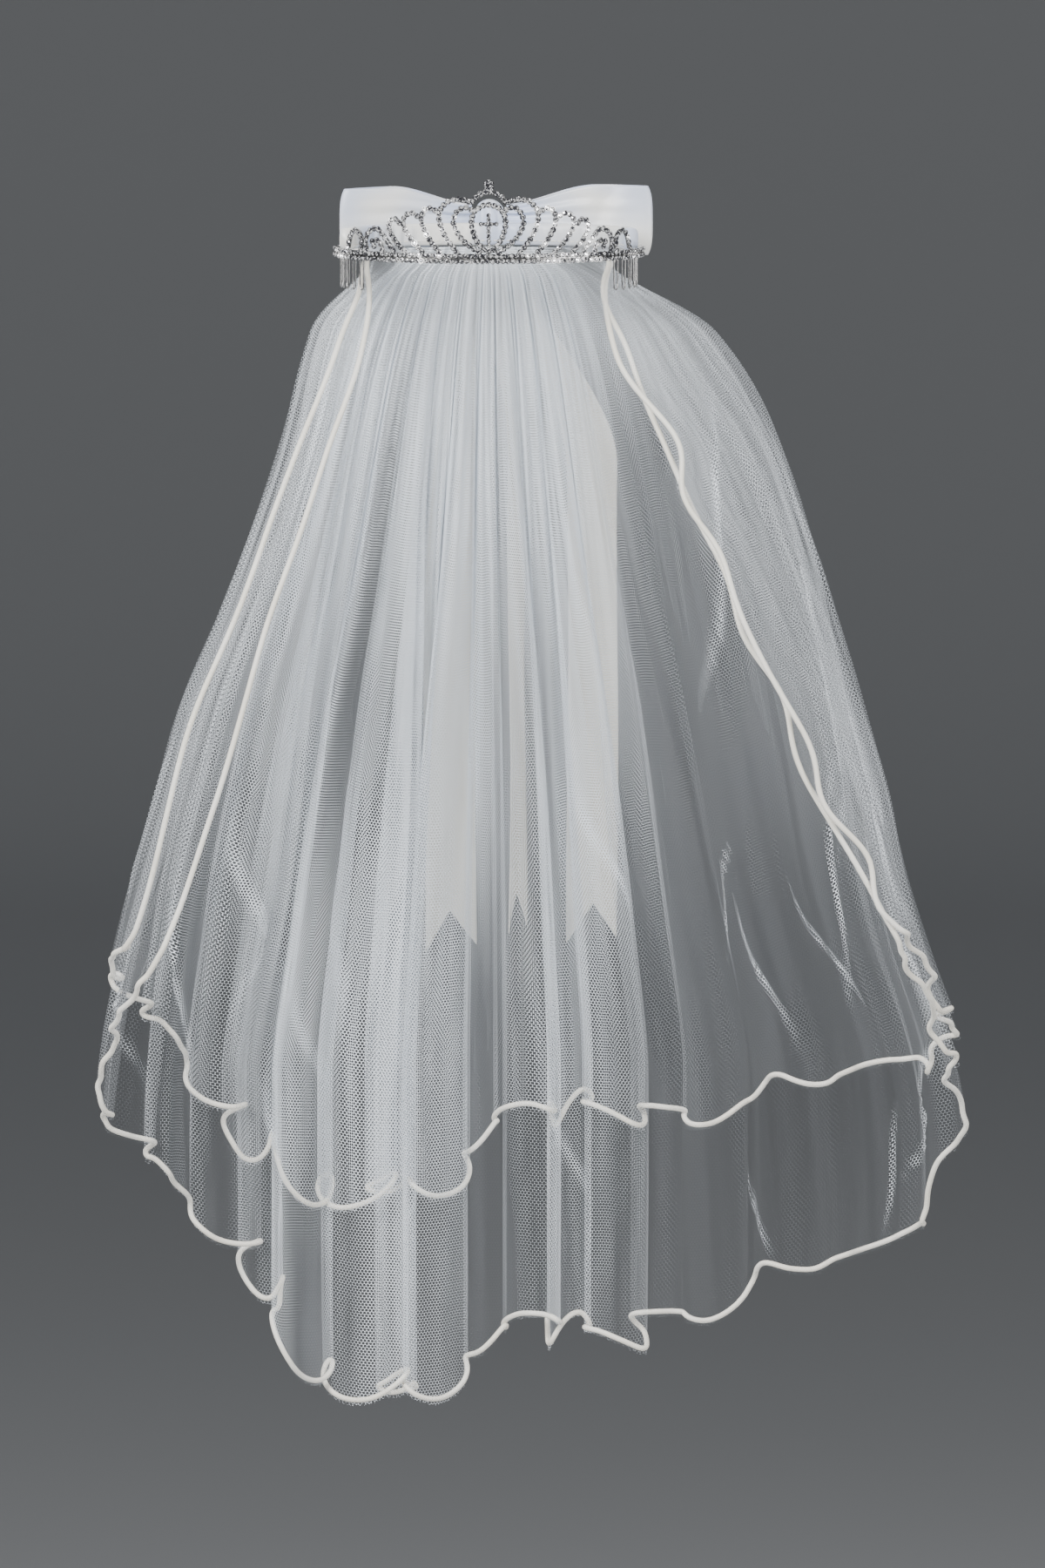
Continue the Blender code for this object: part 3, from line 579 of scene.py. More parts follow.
def lay_uv(mesh, name, across, down):
    """Gives a mesh a UV map of its own cloth, in metres."""
    layer = mesh.uv_layers.new(name=name)
    corners = np.zeros(len(mesh.loops), int)
    mesh.loops.foreach_get("vertex_index", corners)
    layer.data.foreach_set("uv", np.stack([across[corners], down[corners]], axis=1).ravel())


def lay_value(mesh, name, values):
    attribute = mesh.attributes.new(name, "FLOAT", "POINT")
    attribute.data.foreach_set("value", np.asarray(values, np.float32).ravel())


def uneven_line(count, spacing, seed):
    """Random values, from about -1 to 1, that change smoothly along a line of this many places."""
    chance = np.random.default_rng(seed)
    knots = chance.uniform(-1, 1, int(count / spacing) + 4)
    at = np.arange(count) / spacing
    i = at.astype(int)
    t = ease(at - i)
    return knots[i] * (1 - t) + knots[i + 1] * t


def streaks(layer, across, drop):
    """Close and open stripes down the cloth, which wander a little with the drop."""
    seed = 3 if layer == "long" else 17
    total = np.zeros(drop.shape)
    at = np.arange(STREAK_PLACES)
    blend = ease(drop / STREAK_CHANGE_DROP)
    for number, row in enumerate(STREAKS):
        line = uneven_line(STREAK_PLACES, row.width * MM / STREAK_STEP, seed + number)
        late = uneven_line(STREAK_PLACES, row.width * MM / STREAK_STEP, seed + number + 40)
        place = (across[None, :] + STREAK_WANDER * np.sin(drop * 7 + number)) / STREAK_STEP + 400
        total += row.size * (np.interp(place, at, line) * (1 - blend) + np.interp(place, at, late) * blend)
    return np.clip(1 + total, *STREAK_LIMITS)


def net_density(along, drop, points, mark):
    """How many thicknesses of net each place stands for: gathers too fine to model, steep fold sides
    and creases all make it closer."""
    base = plan_place(np.broadcast_to(along, drop.shape), drop)
    run = unit_rows(np.gradient(points[..., :2], axis=1))
    facing = np.abs(np.sum(run * unit_rows(np.gradient(base, axis=1)), axis=-1))
    steep = 1 / np.maximum(facing, LEAST_FACING)
    middle = ease((along - 3.0) / 3.0) * ease((18.5 - along) / 3.5)
    upper = (SIDE_GATHERS + MIDDLE_GATHERS * middle) * (1 - ease(drop / 0.24))
    lower = LOW_GATHERS * middle * (1 - ease((drop - 0.12) / 0.6))
    sides = 1 - SIDE_LOSS * (1 - middle) * ease((drop - 0.2) / 0.15)
    places = [bunch.fold for bunch in BUNCHES]
    high = np.interp(along, places, [bunch.high for bunch in BUNCHES])
    low = np.interp(along, places, [bunch.low for bunch in BUNCHES])
    change = ease((drop - 0.22) / 0.18)
    bunched = 1 + (high * (1 - change) + low * change - 1) * ease(drop / 0.12)
    steepened = 1 - STEEP_SHARE + STEEP_SHARE * steep
    return (sides + upper + lower) * bunched * steepened + CREASE_GATHERS * mark


def flat_cut(across, points):
    """Width, length and area of the layer's cut of tulle."""
    lengths = np.linalg.norm(np.diff(points, axis=0), axis=-1).sum(axis=0)
    area = float(np.sum((lengths[1:] + lengths[:-1]) / 2 * np.diff(across)))
    return float(across[-1] - across[0]), float(lengths.max()), area


def make_net(layer, material, edge_material):
    along, drop, points, mark = net_grid(layer)
    steps = np.linalg.norm(np.diff(points, axis=1), axis=-1)
    steps = np.percentile(steps, CLOTH_PERCENTILE, axis=0)
    cloth = np.concatenate([[0], np.cumsum(steps)])
    density = net_density(along, drop, points, mark) * streaks(layer, cloth, drop)
    past = np.array(TRIM_SHARES) * (CORD_SEAT + CORD_RADIUS + TRIM)
    wide = widen(points, past)
    extra = len(past)
    density = np.pad(density, ((0, extra), (extra, extra)), mode="edge")
    trim = np.zeros(wide.shape[:2])
    for i, amount in enumerate(past):
        trim[-extra + i, :] = amount
        trim[:, extra - 1 - i] = np.maximum(trim[:, extra - 1 - i], amount)
        trim[:, -extra + i] = np.maximum(trim[:, -extra + i], amount)
    across = np.concatenate([cloth[0] - past[::-1], cloth, cloth[-1] + past])
    across = np.broadcast_to(across, wide.shape[:2])
    down = np.cumsum(np.linalg.norm(np.diff(wide, axis=0, prepend=wide[:1]), axis=-1), axis=0)
    rows, columns = wide.shape[:2]
    piece = add_piece(layer + "_net", wide.reshape(-1, 3), grid_faces(rows, columns), material)
    lay_uv(piece.data, "cloth", across.ravel(), down.ravel())
    lay_value(piece.data, "closeness", density.ravel())
    lay_value(piece.data, "trim", trim.ravel())
    corners = np.array([tuple(face.vertices) for face in piece.data.polygons])
    trimmed = (trim.ravel() > 0)[corners].any(axis=1)
    piece.data.materials.append(edge_material)
    piece.data.polygons.foreach_set("material_index", trimmed.astype(np.int32))
    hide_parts(layer + "_layer")
    return piece, points, flat_cut(cloth, points)


def tube(name, path, radius, sides, material, closed=False, round_ends=True):
    """A round tube along a path of points, with closed ends."""
    path = np.asarray(path, float)
    count = len(path)
    if closed:
        ahead = np.roll(path, -1, axis=0) - np.roll(path, 1, axis=0)
    else:
        ahead = np.gradient(path, axis=0)
    ahead = unit_rows(ahead)
    across = np.array([0.0, 1.0, 0.02])
    rings = []
    length = lengths_along(path)
    turns = 2 * math.pi * np.arange(sides) / sides
    for i in range(count):
        across = across - ahead[i] * (across @ ahead[i])
        across = across / np.linalg.norm(across)
        other = np.cross(ahead[i], across)
        rings.append(path[i] + radius * (np.outer(np.cos(turns), across) + np.outer(np.sin(turns), other)))
    points = np.concatenate(rings)
    faces = grid_faces(count, sides, ring=True)
    around = np.tile(turns * radius, count)
    along = np.repeat(length, sides)
    if closed:
        last = (count - 1) * sides
        faces += [(last + k, last + (k + 1) % sides, (k + 1) % sides, k) for k in range(sides)]
    else:
        ends = []
        for i, sign in ((0, -1), (count - 1, 1)):
            points = np.concatenate([points, [path[i] + ahead[i] * radius * 0.8 * sign * round_ends]])
            ends.append(len(points) - 1)
            ring = i * sides
            faces += [(ring + k, ring + (k + 1) % sides, ends[-1]) for k in range(sides)]
        around = np.concatenate([around, [0, 0]])
        along = np.concatenate([along, [length[0], length[-1]]])
    piece = add_piece(name, points, faces, material)
    face_out(piece)
    lay_uv(piece.data, "cloth", around, along)
    return piece


def rim_line(points):
    """The line along a layer's front edges and hem, just outside the net's modelled edge."""
    left = points[2:, 0] + unit_rows(points[2:, 0] - points[2:, 3]) * CORD_SEAT
    hem = points[-1] + unit_rows(points[-1] - points[-4]) * CORD_SEAT
    right = points[2:, -1] + unit_rows(points[2:, -1] - points[2:, -4]) * CORD_SEAT
    return np.concatenate([left[:-2], hem[2:-2], right[:-2][::-1]])


def soften(path, passes):
    """Takes small kinks out of a path."""
    path = np.array(path)
    for _ in range(passes):
        path[1:-1] = path[1:-1] * 0.5 + (path[:-2] + path[2:]) * 0.25
    return path


def make_edge_cord(layer, points, material):
    rim = rim_line(points)
    path = soften(even_steps(rim, int(lengths_along(rim)[-1] / CORD_STEP)), CORD_SOFTENING)
    piece = tube(layer + "_edge_cord", path, CORD_RADIUS, 12, material)
    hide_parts(layer + "_layer_cord")
    return piece


# Header ribbon and bow.
HEADER_STEPS, HEADER_SIDES = 260, 28
HEADER_SQUARENESS = 0.55
PUCKER = 0.35 * MM
RIBBON_WIDTH = 34 * MM
RIBBON_WALL = 0.5 * MM
KNOT_SIZE = np.array((8.5, 6.5, 10)) * MM
KNOT_GAP = 0.3 * MM
KNOT_RINGS, KNOT_SIDES = 40, 56
KNOT_PLEATS, KNOT_PLEAT_DEPTH = 9, 0.045
BOW_HEIGHT = 12 * MM
LOOP_PINCH = 0.42
LOOP_BULGE = 7.5 * MM
LOOP_CURVE = 15 * MM
LOOP_START_SHARE = 0.035
LOOP_END_NARROWING = 0.25
LOOP_OPEN_RATE = 1.6
LOOP_CREASE = 1.5 * MM
LOOP_SAG = 0.9 * MM
LOOP_DENT = 1.5 * MM
LOOP_DENT_PLACE = 0.62
LOOP_CORNER = 2.2 * MM
TAIL_NOTCH = 19 * MM
TAIL_CLEAR = 3.5 * MM
TAIL_TOP_SHARE = 0.2
TAIL_OPEN_RATE = 3
TAIL_TURN_RATE = 4
TAIL_WAVE = 0.8 * MM
TAIL_PUCKER = 0.5 * MM
NOTCH_SHARPNESS = 6
LOOPS = table("name reach end_rise", ("bow_loop_left", -74, -1.0), ("bow_loop_right", 81, 0.5))
TAILS = table("name start_x end_x drop turn_deg stand",
    ("bow_tail_left", -8, -20, 366, 40, 2),
    ("bow_tail_middle", 0, 14, 358, 76, 5),
    ("bow_tail_right", 8, 52, 362, 42, 0),
)


def wall_piece(name, grid, thick, material, across, down):
    """A thin closed ribbon wall on a grid of points."""
    rows, columns = grid.shape[:2]
    piece = add_piece(name, grid.reshape(-1, 3), grid_faces(rows, columns), material)
    lay_uv(piece.data, "cloth", across.ravel(), down.ravel())
    thicken = piece.modifiers.new("wall", "SOLIDIFY")
    thicken.thickness = thick
    thicken.offset = 0
    return piece


def ribbon_marks(grid):
    """Each point's place across and along a ribbon, in metres."""
    across = np.cumsum(np.linalg.norm(np.diff(grid, axis=1, prepend=grid[:, :1]), axis=-1), axis=1)
    down = np.cumsum(np.linalg.norm(np.diff(grid, axis=0, prepend=grid[:1]), axis=-1), axis=0)
    return across, down


def make_header(material):
    """The satin-bound header, with small puckers where the gathers are sewn in."""
    steps, end = HEADER_STEPS, math.radians(HEADER_END_DEG)
    half = HEADER_THICK / 2
    turn = np.linspace(0, 2 * math.pi, HEADER_SIDES, endpoint=False)
    rounded, risen = (np.sign(v) * np.abs(v) ** HEADER_SQUARENESS for v in (np.cos(turn), np.sin(turn)))
    outs, heights = half * rounded, HEADER_HEIGHT * (0.5 + 0.5 * risen)
    points = []
    for angle in np.linspace(-end, end, steps):
        gathered = ease((math.radians(GATHER_END_DEG + 6) - abs(angle)) * 6)
        pucker = PUCKER * math.sin(angle * 61 + 2 * math.sin(angle * 7)) * gathered
        for out, height in zip(outs, heights):
            grow = 1 + pucker / half * abs(math.sin(math.pi * height / HEADER_HEIGHT))
            x, y = header_line(angle, -out * grow)
            points.append((x, y, height))
    faces = grid_faces(steps, len(turn), ring=True)
    faces += [tuple(range(len(turn))), tuple(range((steps - 1) * len(turn), steps * len(turn)))]
    piece = add_piece("header_satin", points, faces, material)
    face_out(piece)
    around = np.tile(turn * 4 * MM, steps)
    along = np.repeat(np.linspace(-end, end, steps) * 60 * MM, len(turn))
    lay_uv(piece.data, "cloth", around, along)
    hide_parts("header_ribbon")
    return piece


def knot_centre():
    back = HEADER_FRONT + HEADER_BACK + HEADER_THICK / 2
    return np.array([0, back + KNOT_GAP + KNOT_SIZE[1], BOW_HEIGHT])


def make_knot(material):
    """The wrapped knot, with upright gathers."""
    rings, sides = KNOT_RINGS, KNOT_SIDES
    centre = knot_centre()
    points = [centre + KNOT_SIZE * (0, 0, 1)]
    marks = [(0.0, 0.0)]
    for r in range(1, rings):
        tilt = math.pi * r / rings
        for k in range(sides):
            turn = 2 * math.pi * k / sides
            ridge = 1 - math.cos(KNOT_PLEATS * turn + 0.8 * math.sin(3 * tilt))
            pleat = 1 - KNOT_PLEAT_DEPTH * ridge * math.sin(tilt) ** 2
            wide = math.sin(tilt)
            away = np.array((wide * math.cos(turn), wide * math.sin(turn), math.cos(tilt)))
            points.append(centre + KNOT_SIZE * away * pleat)
            marks.append((turn * KNOT_SIZE[0], tilt * KNOT_SIZE[2]))
    points.append(centre - KNOT_SIZE * (0, 0, 1))
    marks.append((0.0, math.pi * KNOT_SIZE[2]))
    faces = [(0, 1 + k, 1 + (k + 1) % sides) for k in range(sides)]
    faces += [tuple(i + 1 for i in f) for f in grid_faces(rings - 1, sides, ring=True)]
    low = 1 + (rings - 2) * sides
    faces += [(len(points) - 1, low + (k + 1) % sides, low + k) for k in range(sides)]
    piece = add_piece("knot_satin", points, faces, material)
    face_out(piece)
    marks = np.array(marks)
    lay_uv(piece.data, "cloth", marks[:, 0], marks[:, 1])
    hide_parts("bow_knot")
    return piece


def make_loop(loop, material):
    """A satin loop with creases that run out from the knot."""
    centre = knot_centre()
    side = math.copysign(1, loop.reach)
    reach = abs(loop.reach) * MM
    first_out = (1 - math.cos(2 * math.pi * LOOP_START_SHARE)) / 2
    start = (KNOT_SIZE[0] + KNOT_GAP - reach * first_out) / (1 - first_out)
    rows = []
    for t in np.linspace(LOOP_START_SHARE, 1 - LOOP_START_SHARE, 96):
        out = (1 - math.cos(2 * math.pi * t)) / 2
        x = start + (reach - start) * out
        y = centre[1] - LOOP_BULGE * math.sin(2 * math.pi * t) * (1 - LOOP_END_NARROWING * out)
        y -= LOOP_CURVE * (x / reach) ** 2
        spread = LOOP_PINCH + (1 - LOOP_PINCH) * float(ease(out * LOOP_OPEN_RATE))
        half = RIBBON_WIDTH / 2 * spread
        row = []
        for k in np.linspace(-1, 1, 33):
            crease = math.sin(9.5 * k + 1.7 * t * side) + 0.6 * math.sin(17 * k + 2.3 + 3 * t)
            crease *= LOOP_CREASE * (1 - out) ** 1.3 * (1 - 0.4 * abs(k))
            sag = LOOP_SAG * math.sin(2.2 * k + 5 * out + side) * out
            dent = LOOP_DENT * math.exp(-((out - LOOP_DENT_PLACE - 0.12 * k) / 0.07) ** 2) * (1 + side) / 2
            z = centre[2] + loop.end_rise * MM * out + half * k
            rounded = x - LOOP_CORNER * k**4 * out**6
            row.append((side * rounded, y + crease + sag + dent, z))
        rows.append(row)
    grid = np.array(rows)
    across, down = ribbon_marks(grid)
    piece = wall_piece(loop.name + "_satin", grid, RIBBON_WALL, material, across, down)
    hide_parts(loop.name)
    return piece


def outside_back(x, drop):
    """How far back the short layer's outside stands at a sideways place and a drop."""
    curve = level_curve(drop)
    flare = float(flare_share(drop))
    middle = curve[len(curve) // 4 : -(len(curve) // 4)]
    below = float(np.interp(x, middle[:, 0], middle[:, 1]))
    header = float(np.interp(x, GATHERS[:, 0], GATHERS[:, 1]))
    return header * (1 - flare) + below * flare + float(layer_space(drop)) + HALF_NET


def make_tail(tail, material):
    """A satin tail that hangs behind the net with soft waves and a notched end."""
    node_low, node_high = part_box(tail.name)
    top = node_high.z
    lowest = -tail.drop * MM
    rows = []
    for level in np.linspace(0, 1, 150):
        z = top + (lowest - top) * level
        opened = float(ease(level * TAIL_OPEN_RATE))
        half = RIBBON_WIDTH / 2 * (TAIL_TOP_SHARE + (1 - TAIL_TOP_SHARE) * opened)
        angle = math.radians(tail.turn_deg) * float(ease(level * TAIL_TURN_RATE))
        x = (tail.start_x + (tail.end_x - tail.start_x) * opened) * MM
        drop = max(0.0, -z)
        wide = half * abs(math.cos(angle))
        back = max(outside_back(x + s * wide, drop) for s in (-1, 0, 1))
        y = back + TAIL_CLEAR + tail.stand * MM + half * math.sin(angle)
        notch = TAIL_NOTCH * level**NOTCH_SHARPNESS
        row = []
        for k in np.linspace(-1, 1, 17):
            wave = TAIL_WAVE * math.sin(2.4 * k + 9 * level + tail.start_x) * opened
            wave += TAIL_PUCKER * math.sin(11 * k + tail.end_x) * (1 - opened)
            row.append((x + k * half * math.cos(angle) - wave * math.sin(angle),
                        y + k * half * math.sin(angle) + wave * math.cos(angle),
                        z + notch * (1 - abs(k))))
        rows.append(row)
    grid = np.array(rows)
    across, down = ribbon_marks(grid)
    piece = wall_piece(tail.name + "_satin", grid, RIBBON_WALL, material, across, down)
    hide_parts(tail.name)
    return piece, float(down[:, 8].max())


# Tiara: wires in millimetres as sideways place and height, for the left half.
WIRE_RADIUS = 0.62 * MM
STONE_PITCH = 2.6 * MM
STONE_RADIUS = 1.36 * MM
BAND_STONE_RADIUS = 1.15 * MM
BAND_PITCH = 2.5 * MM
BAND_ROW_HEIGHT = 1.35 * MM
BAND_STONE_STAND = 0.2 * MM
CROSS_STONE_PITCH = 2.1 * MM
CROSS_STONE_RADIUS = 1.0 * MM
STONE_TILT = (0.14, 0.14, 0.6)
STONE_SEED = 11
STONE_SIDES = 8
# A stone's and a cup's top radius, bottom radius, depth and rise, as shares of the stone's radius.
STONE_SHARES = (0.56, 1.0, 0.42, 0.56)
CUP_SHARES = (1.18, 0.75, 0.55, 0.0)
SCROLL_FOOT = 3.1
SCROLLS = {
    "heart": ((4.9, SCROLL_FOOT), (12.4, 9.0), (16.9, 16.6), (15.6, 22.6), (11.7, 25.2), (8.3, 23.9)),
    "tall": ((15.5, SCROLL_FOOT), (20.0, 9.2), (23.6, 17.0), (23.7, 23.4), (19.6, 28.0), (13.6, 29.2),
             (9.5, 28.0)),
    "second": ((24.0, SCROLL_FOOT), (29.1, 9.8), (32.3, 16.8), (32.0, 22.2), (29.2, 24.6), (26.1, 23.6)),
    "third": ((32.4, SCROLL_FOOT), (37.2, 8.6), (41.2, 15.4), (40.6, 20.2), (37.6, 22.0), (34.7, 20.6)),
    "fourth": ((41.0, SCROLL_FOOT), (45.6, 8.6), (48.4, 14.0), (47.6, 17.8), (45.2, 18.8), (43.3, 17.0)),
    "side": ((46.2, SCROLL_FOOT), (50.6, 9.6), (54.2, 13.6), (58.0, 12.0), (60.0, 7.4), (59.4, SCROLL_FOOT)),
    "curl": ((51.6, SCROLL_FOOT), (52.6, 6.4), (54.8, 8.2), (56.8, 6.8), (55.6, 4.9)),
    "end": ((62.2, SCROLL_FOOT), (61.9, 8.2), (64.4, 12.2), (67.2, 9.6), (68.6, SCROLL_FOOT)),
}
EGG_BOTTOM, EGG_TOP, EGG_HALF_WIDTH, EGG_TAPER = 3.4, 26.4, 8.0, 0.28
CROWN_ARCH = ((-8.2, 28.1), (-4.9, 31.2), (0.0, 33.0), (4.9, 31.2), (8.2, 28.1))
CROWN_TIP = (34.1, 37.3)
TIP_RING = 1.5
CROSS_BOTTOM, CROSS_TOP, CROSS_ARM_HEIGHT, CROSS_ARM_HALF = 4.4, 21.2, 17.0, 3.7
BAND_THICK = 1.6 * MM
COMB_FROM_DEG, COMB_TO_DEG, COMB_TEETH, COMB_TOOTH = 57, 86, 5, 16.5 * MM
COMB_TOOTH_TIP = 0.9 * MM
COMB_LEAN = 0.25
COMB_INSET = 1.75 * MM
COMB_WIRE_RADIUS = 0.4 * MM
COMB_BAR_RADIUS = 0.8 * MM
COMB_BAR_HEIGHT = 0.4 * MM
COMB_BAR_PAST = 0.02


def tiara_points(path, out=0.0):
    """Places sideways-and-height points, in millimetres, on the tiara's curved front."""
    path = np.asarray(path, float) * MM
    share = np.minimum(np.abs(path[:, 0]) / TIARA_HALF_WIDTH, 1)
    y = -TIARA_REACH * np.sqrt(1 - share**2)
    points = np.stack([path[:, 0], y, path[:, 1]], axis=1)
    away = np.stack([path[:, 0] / TIARA_HALF_WIDTH**2, y / TIARA_REACH**2, 0 * y], axis=1)
    return points + unit_rows(away) * out


def egg_path(steps=72):
    angle = np.linspace(0, 2 * math.pi, steps, endpoint=False)
    rise = np.cos(angle)
    x = EGG_HALF_WIDTH * np.sin(angle) * (1 + EGG_TAPER * rise)
    return np.stack([x, (EGG_BOTTOM + EGG_TOP) / 2 + (EGG_TOP - EGG_BOTTOM) / 2 * rise], axis=1)


def wire_paths():
    """Every wire of the tiara: node name, points and whether it is a closed ring."""
    wires = []
    for name, points in SCROLLS.items():
        for sign, word in ((-1, "left"), (1, "right")):
            path = smooth_path(points, 10) * (sign, 1)
            wires.append((f"tiara_{name}_{word}", path, False))
    wires.append(("tiara_egg", egg_path(), True))
    wires.append(("tiara_crown_arch", smooth_path(CROWN_ARCH, 8), False))
    wires.append(("tiara_crown_tip", np.array([(0, z) for z in np.linspace(*CROWN_TIP, 5)]), False))
    return wires


def make_wires(metal):
    for name, path, closed in wire_paths():
        piece = tube(name + "_wire", tiara_points(path), WIRE_RADIUS, 10, metal, closed=closed)
        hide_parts(name)


def guide(name, paths):
    """A mesh of bare edges for Geometry Nodes to follow."""
    points, edges = [], []
    for path, closed in paths:
        start = len(points)
        points += [tuple(p) for p in path]
        edges += [(i, i + 1) for i in range(start, len(points) - 1)]
        if closed:
            edges.append((len(points) - 1, start))
    mesh = bpy.data.meshes.new(name)
    mesh.from_pydata(points, edges, [])
    piece = bpy.data.objects.new(name, mesh)
    bpy.context.scene.collection.objects.link(piece)
    return piece


def add_node(tree, kind, inputs=None, **settings):
    """A new node with its settings made, and its inputs filled by values or by other nodes."""
    node = tree.nodes.new(kind)
    for setting, value in settings.items():
        setattr(node, setting, value)
    for place, value in (inputs or {}).items():
        if isinstance(value, bpy.types.NodeSocket):
            tree.links.new(value, node.inputs[place])
        else:
            node.inputs[place].default_value = value
    return node


def maths(tree, operation, *values):
    return add_node(tree, "ShaderNodeMath", dict(enumerate(values)), operation=operation).outputs[0]


def new_tree(name, sizes):
    """An empty Geometry Nodes tree with named size inputs."""
    tree = bpy.data.node_groups.new(name, "GeometryNodeTree")
    tree.interface.new_socket("Path", in_out="INPUT", socket_type="NodeSocketGeometry")
    for size, value in sizes.items():
        socket = tree.interface.new_socket(size, in_out="INPUT", socket_type="NodeSocketFloat")
        socket.default_value = value
    tree.interface.new_socket("Geometry", in_out="OUTPUT", socket_type="NodeSocketGeometry")
    return tree, tree.nodes.new("NodeGroupInput").outputs, tree.nodes.new("NodeGroupOutput")


def steps_along(tree, given):
    """Points at even steps along the paths."""
    curve = add_node(tree, "GeometryNodeMeshToCurve", {"Mesh": given["Path"]})
    steps = {"Curve": curve.outputs[0], "Length": given["Pitch"]}
    return add_node(tree, "GeometryNodeCurveToPoints", steps, mode="LENGTH").outputs


def stand_along(tree, direction):
    """The turn that stands a shape's height along a direction."""
    return add_node(tree, "FunctionNodeAlignRotationToVector", {"Vector": direction}, axis="Z").outputs[0]


def lay_copies(tree, result, places, shape, turns, material):
    """Lays copies of a shape on the places, as plain mesh of one material."""
    laid = {"Points": places, "Instance": shape, "Rotation": turns}
    copies = add_node(tree, "GeometryNodeInstanceOnPoints", laid)
    real = add_node(tree, "GeometryNodeRealizeInstances", {0: copies.outputs[0]})
    finish = add_node(tree, "GeometryNodeSetMaterial", {0: real.outputs[0], "Material": material})
    tree.links.new(finish.outputs[0], result.inputs[0])


def set_stones_tree(name, material, cup):
    """Sets a stone, or the metal cup under it, at even steps along each path, facing outwards."""
    sizes = {"Pitch": STONE_PITCH, "Radius": STONE_RADIUS, "Stand": WIRE_RADIUS}
    tree, given, result = new_tree(name, sizes)
    place = add_node(tree, "GeometryNodeInputPosition").outputs[0]
    front = (1 / TIARA_HALF_WIDTH**2, 1 / TIARA_REACH**2, 0)
    scaled = add_node(tree, "ShaderNodeVectorMath", {0: place, 1: front}, operation="MULTIPLY")
    away = add_node(tree, "ShaderNodeVectorMath", {0: scaled.outputs[0]}, operation="NORMALIZE").outputs[0]
    lift = add_node(tree, "ShaderNodeVectorMath", {0: away, "Scale": given["Stand"]}, operation="SCALE")
    seats = {"Geometry": steps_along(tree, given)["Points"], "Offset": lift.outputs[0]}
    moved = add_node(tree, "GeometryNodeSetPosition", seats)
    limits = {0: [-tilt for tilt in STONE_TILT], 1: STONE_TILT, "Seed": STONE_SEED}
    chance = add_node(tree, "FunctionNodeRandomValue", limits, data_type="FLOAT_VECTOR")
    tilt = add_node(tree, "FunctionNodeEulerToRotation", {0: chance.outputs[0]})
    turns = {0: stand_along(tree, away), 1: tilt.outputs[0]}
    turned = add_node(tree, "FunctionNodeRotateRotation", turns, rotation_space="LOCAL")
    shares = CUP_SHARES if cup else STONE_SHARES
    top, bottom, depth, rise = (maths(tree, "MULTIPLY", given["Radius"], share) for share in shares)
    cone = {"Vertices": STONE_SIDES, "Radius Top": top, "Radius Bottom": bottom, "Depth": depth}
    shape = add_node(tree, "GeometryNodeMeshCone", cone).outputs["Mesh"]
    shift = add_node(tree, "ShaderNodeCombineXYZ", {"Z": rise}).outputs[0]
    raised = add_node(tree, "GeometryNodeTransform", {"Geometry": shape, "Translation": shift})
    lay_copies(tree, result, moved.outputs[0], raised.outputs[0], turned.outputs[0], material)
    return tree


def stitch_tree(name, material):
    """Lays short thread stitches along a path."""
    tree, given, result = new_tree(name, STITCH_SIZES)
    thread = {"Vertices": STITCH_SIDES, "Radius": given["Radius"], "Depth": given["Length"]}
    shape = add_node(tree, "GeometryNodeMeshCylinder", thread).outputs["Mesh"]
    steps = steps_along(tree, given)
    lay_copies(tree, result, steps["Points"], shape, stand_along(tree, steps["Tangent"]), material)
    return tree


def make_stitches(thread):
    """Stitches that close the header on its two faces, near the lower edge."""
    end = math.radians(HEADER_END_DEG - 2)
    angles = np.linspace(-end, end, 180)
    paths = []
    for out in (-HEADER_THICK / 2, HEADER_THICK / 2):
        plan = header_line(angles, -out)
        paths.append((np.concatenate([plan, np.full((len(plan), 1), STITCH_HEIGHT)], axis=1), False))
    grow("header_stitches", paths, stitch_tree("header_stitches", thread), STITCH_SIZES, "satin")


def grow(name, paths, tree, sizes, slot):
    """Runs a Geometry Nodes tree on the paths and keeps the result as a plain mesh."""
    host = guide(name, paths)
    modifier = host.modifiers.new("nodes", "NODES")
    modifier.node_group = tree
    for socket in tree.interface.items_tree:
        if socket.in_out == "INPUT" and socket.name in sizes:
            modifier[socket.identifier] = sizes[socket.name]
    graph = bpy.context.evaluated_depsgraph_get()
    mesh = bpy.data.meshes.new_from_object(host.evaluated_get(graph))
    host.modifiers.remove(modifier)
    host.data = mesh
    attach(host, BODY)
    return host


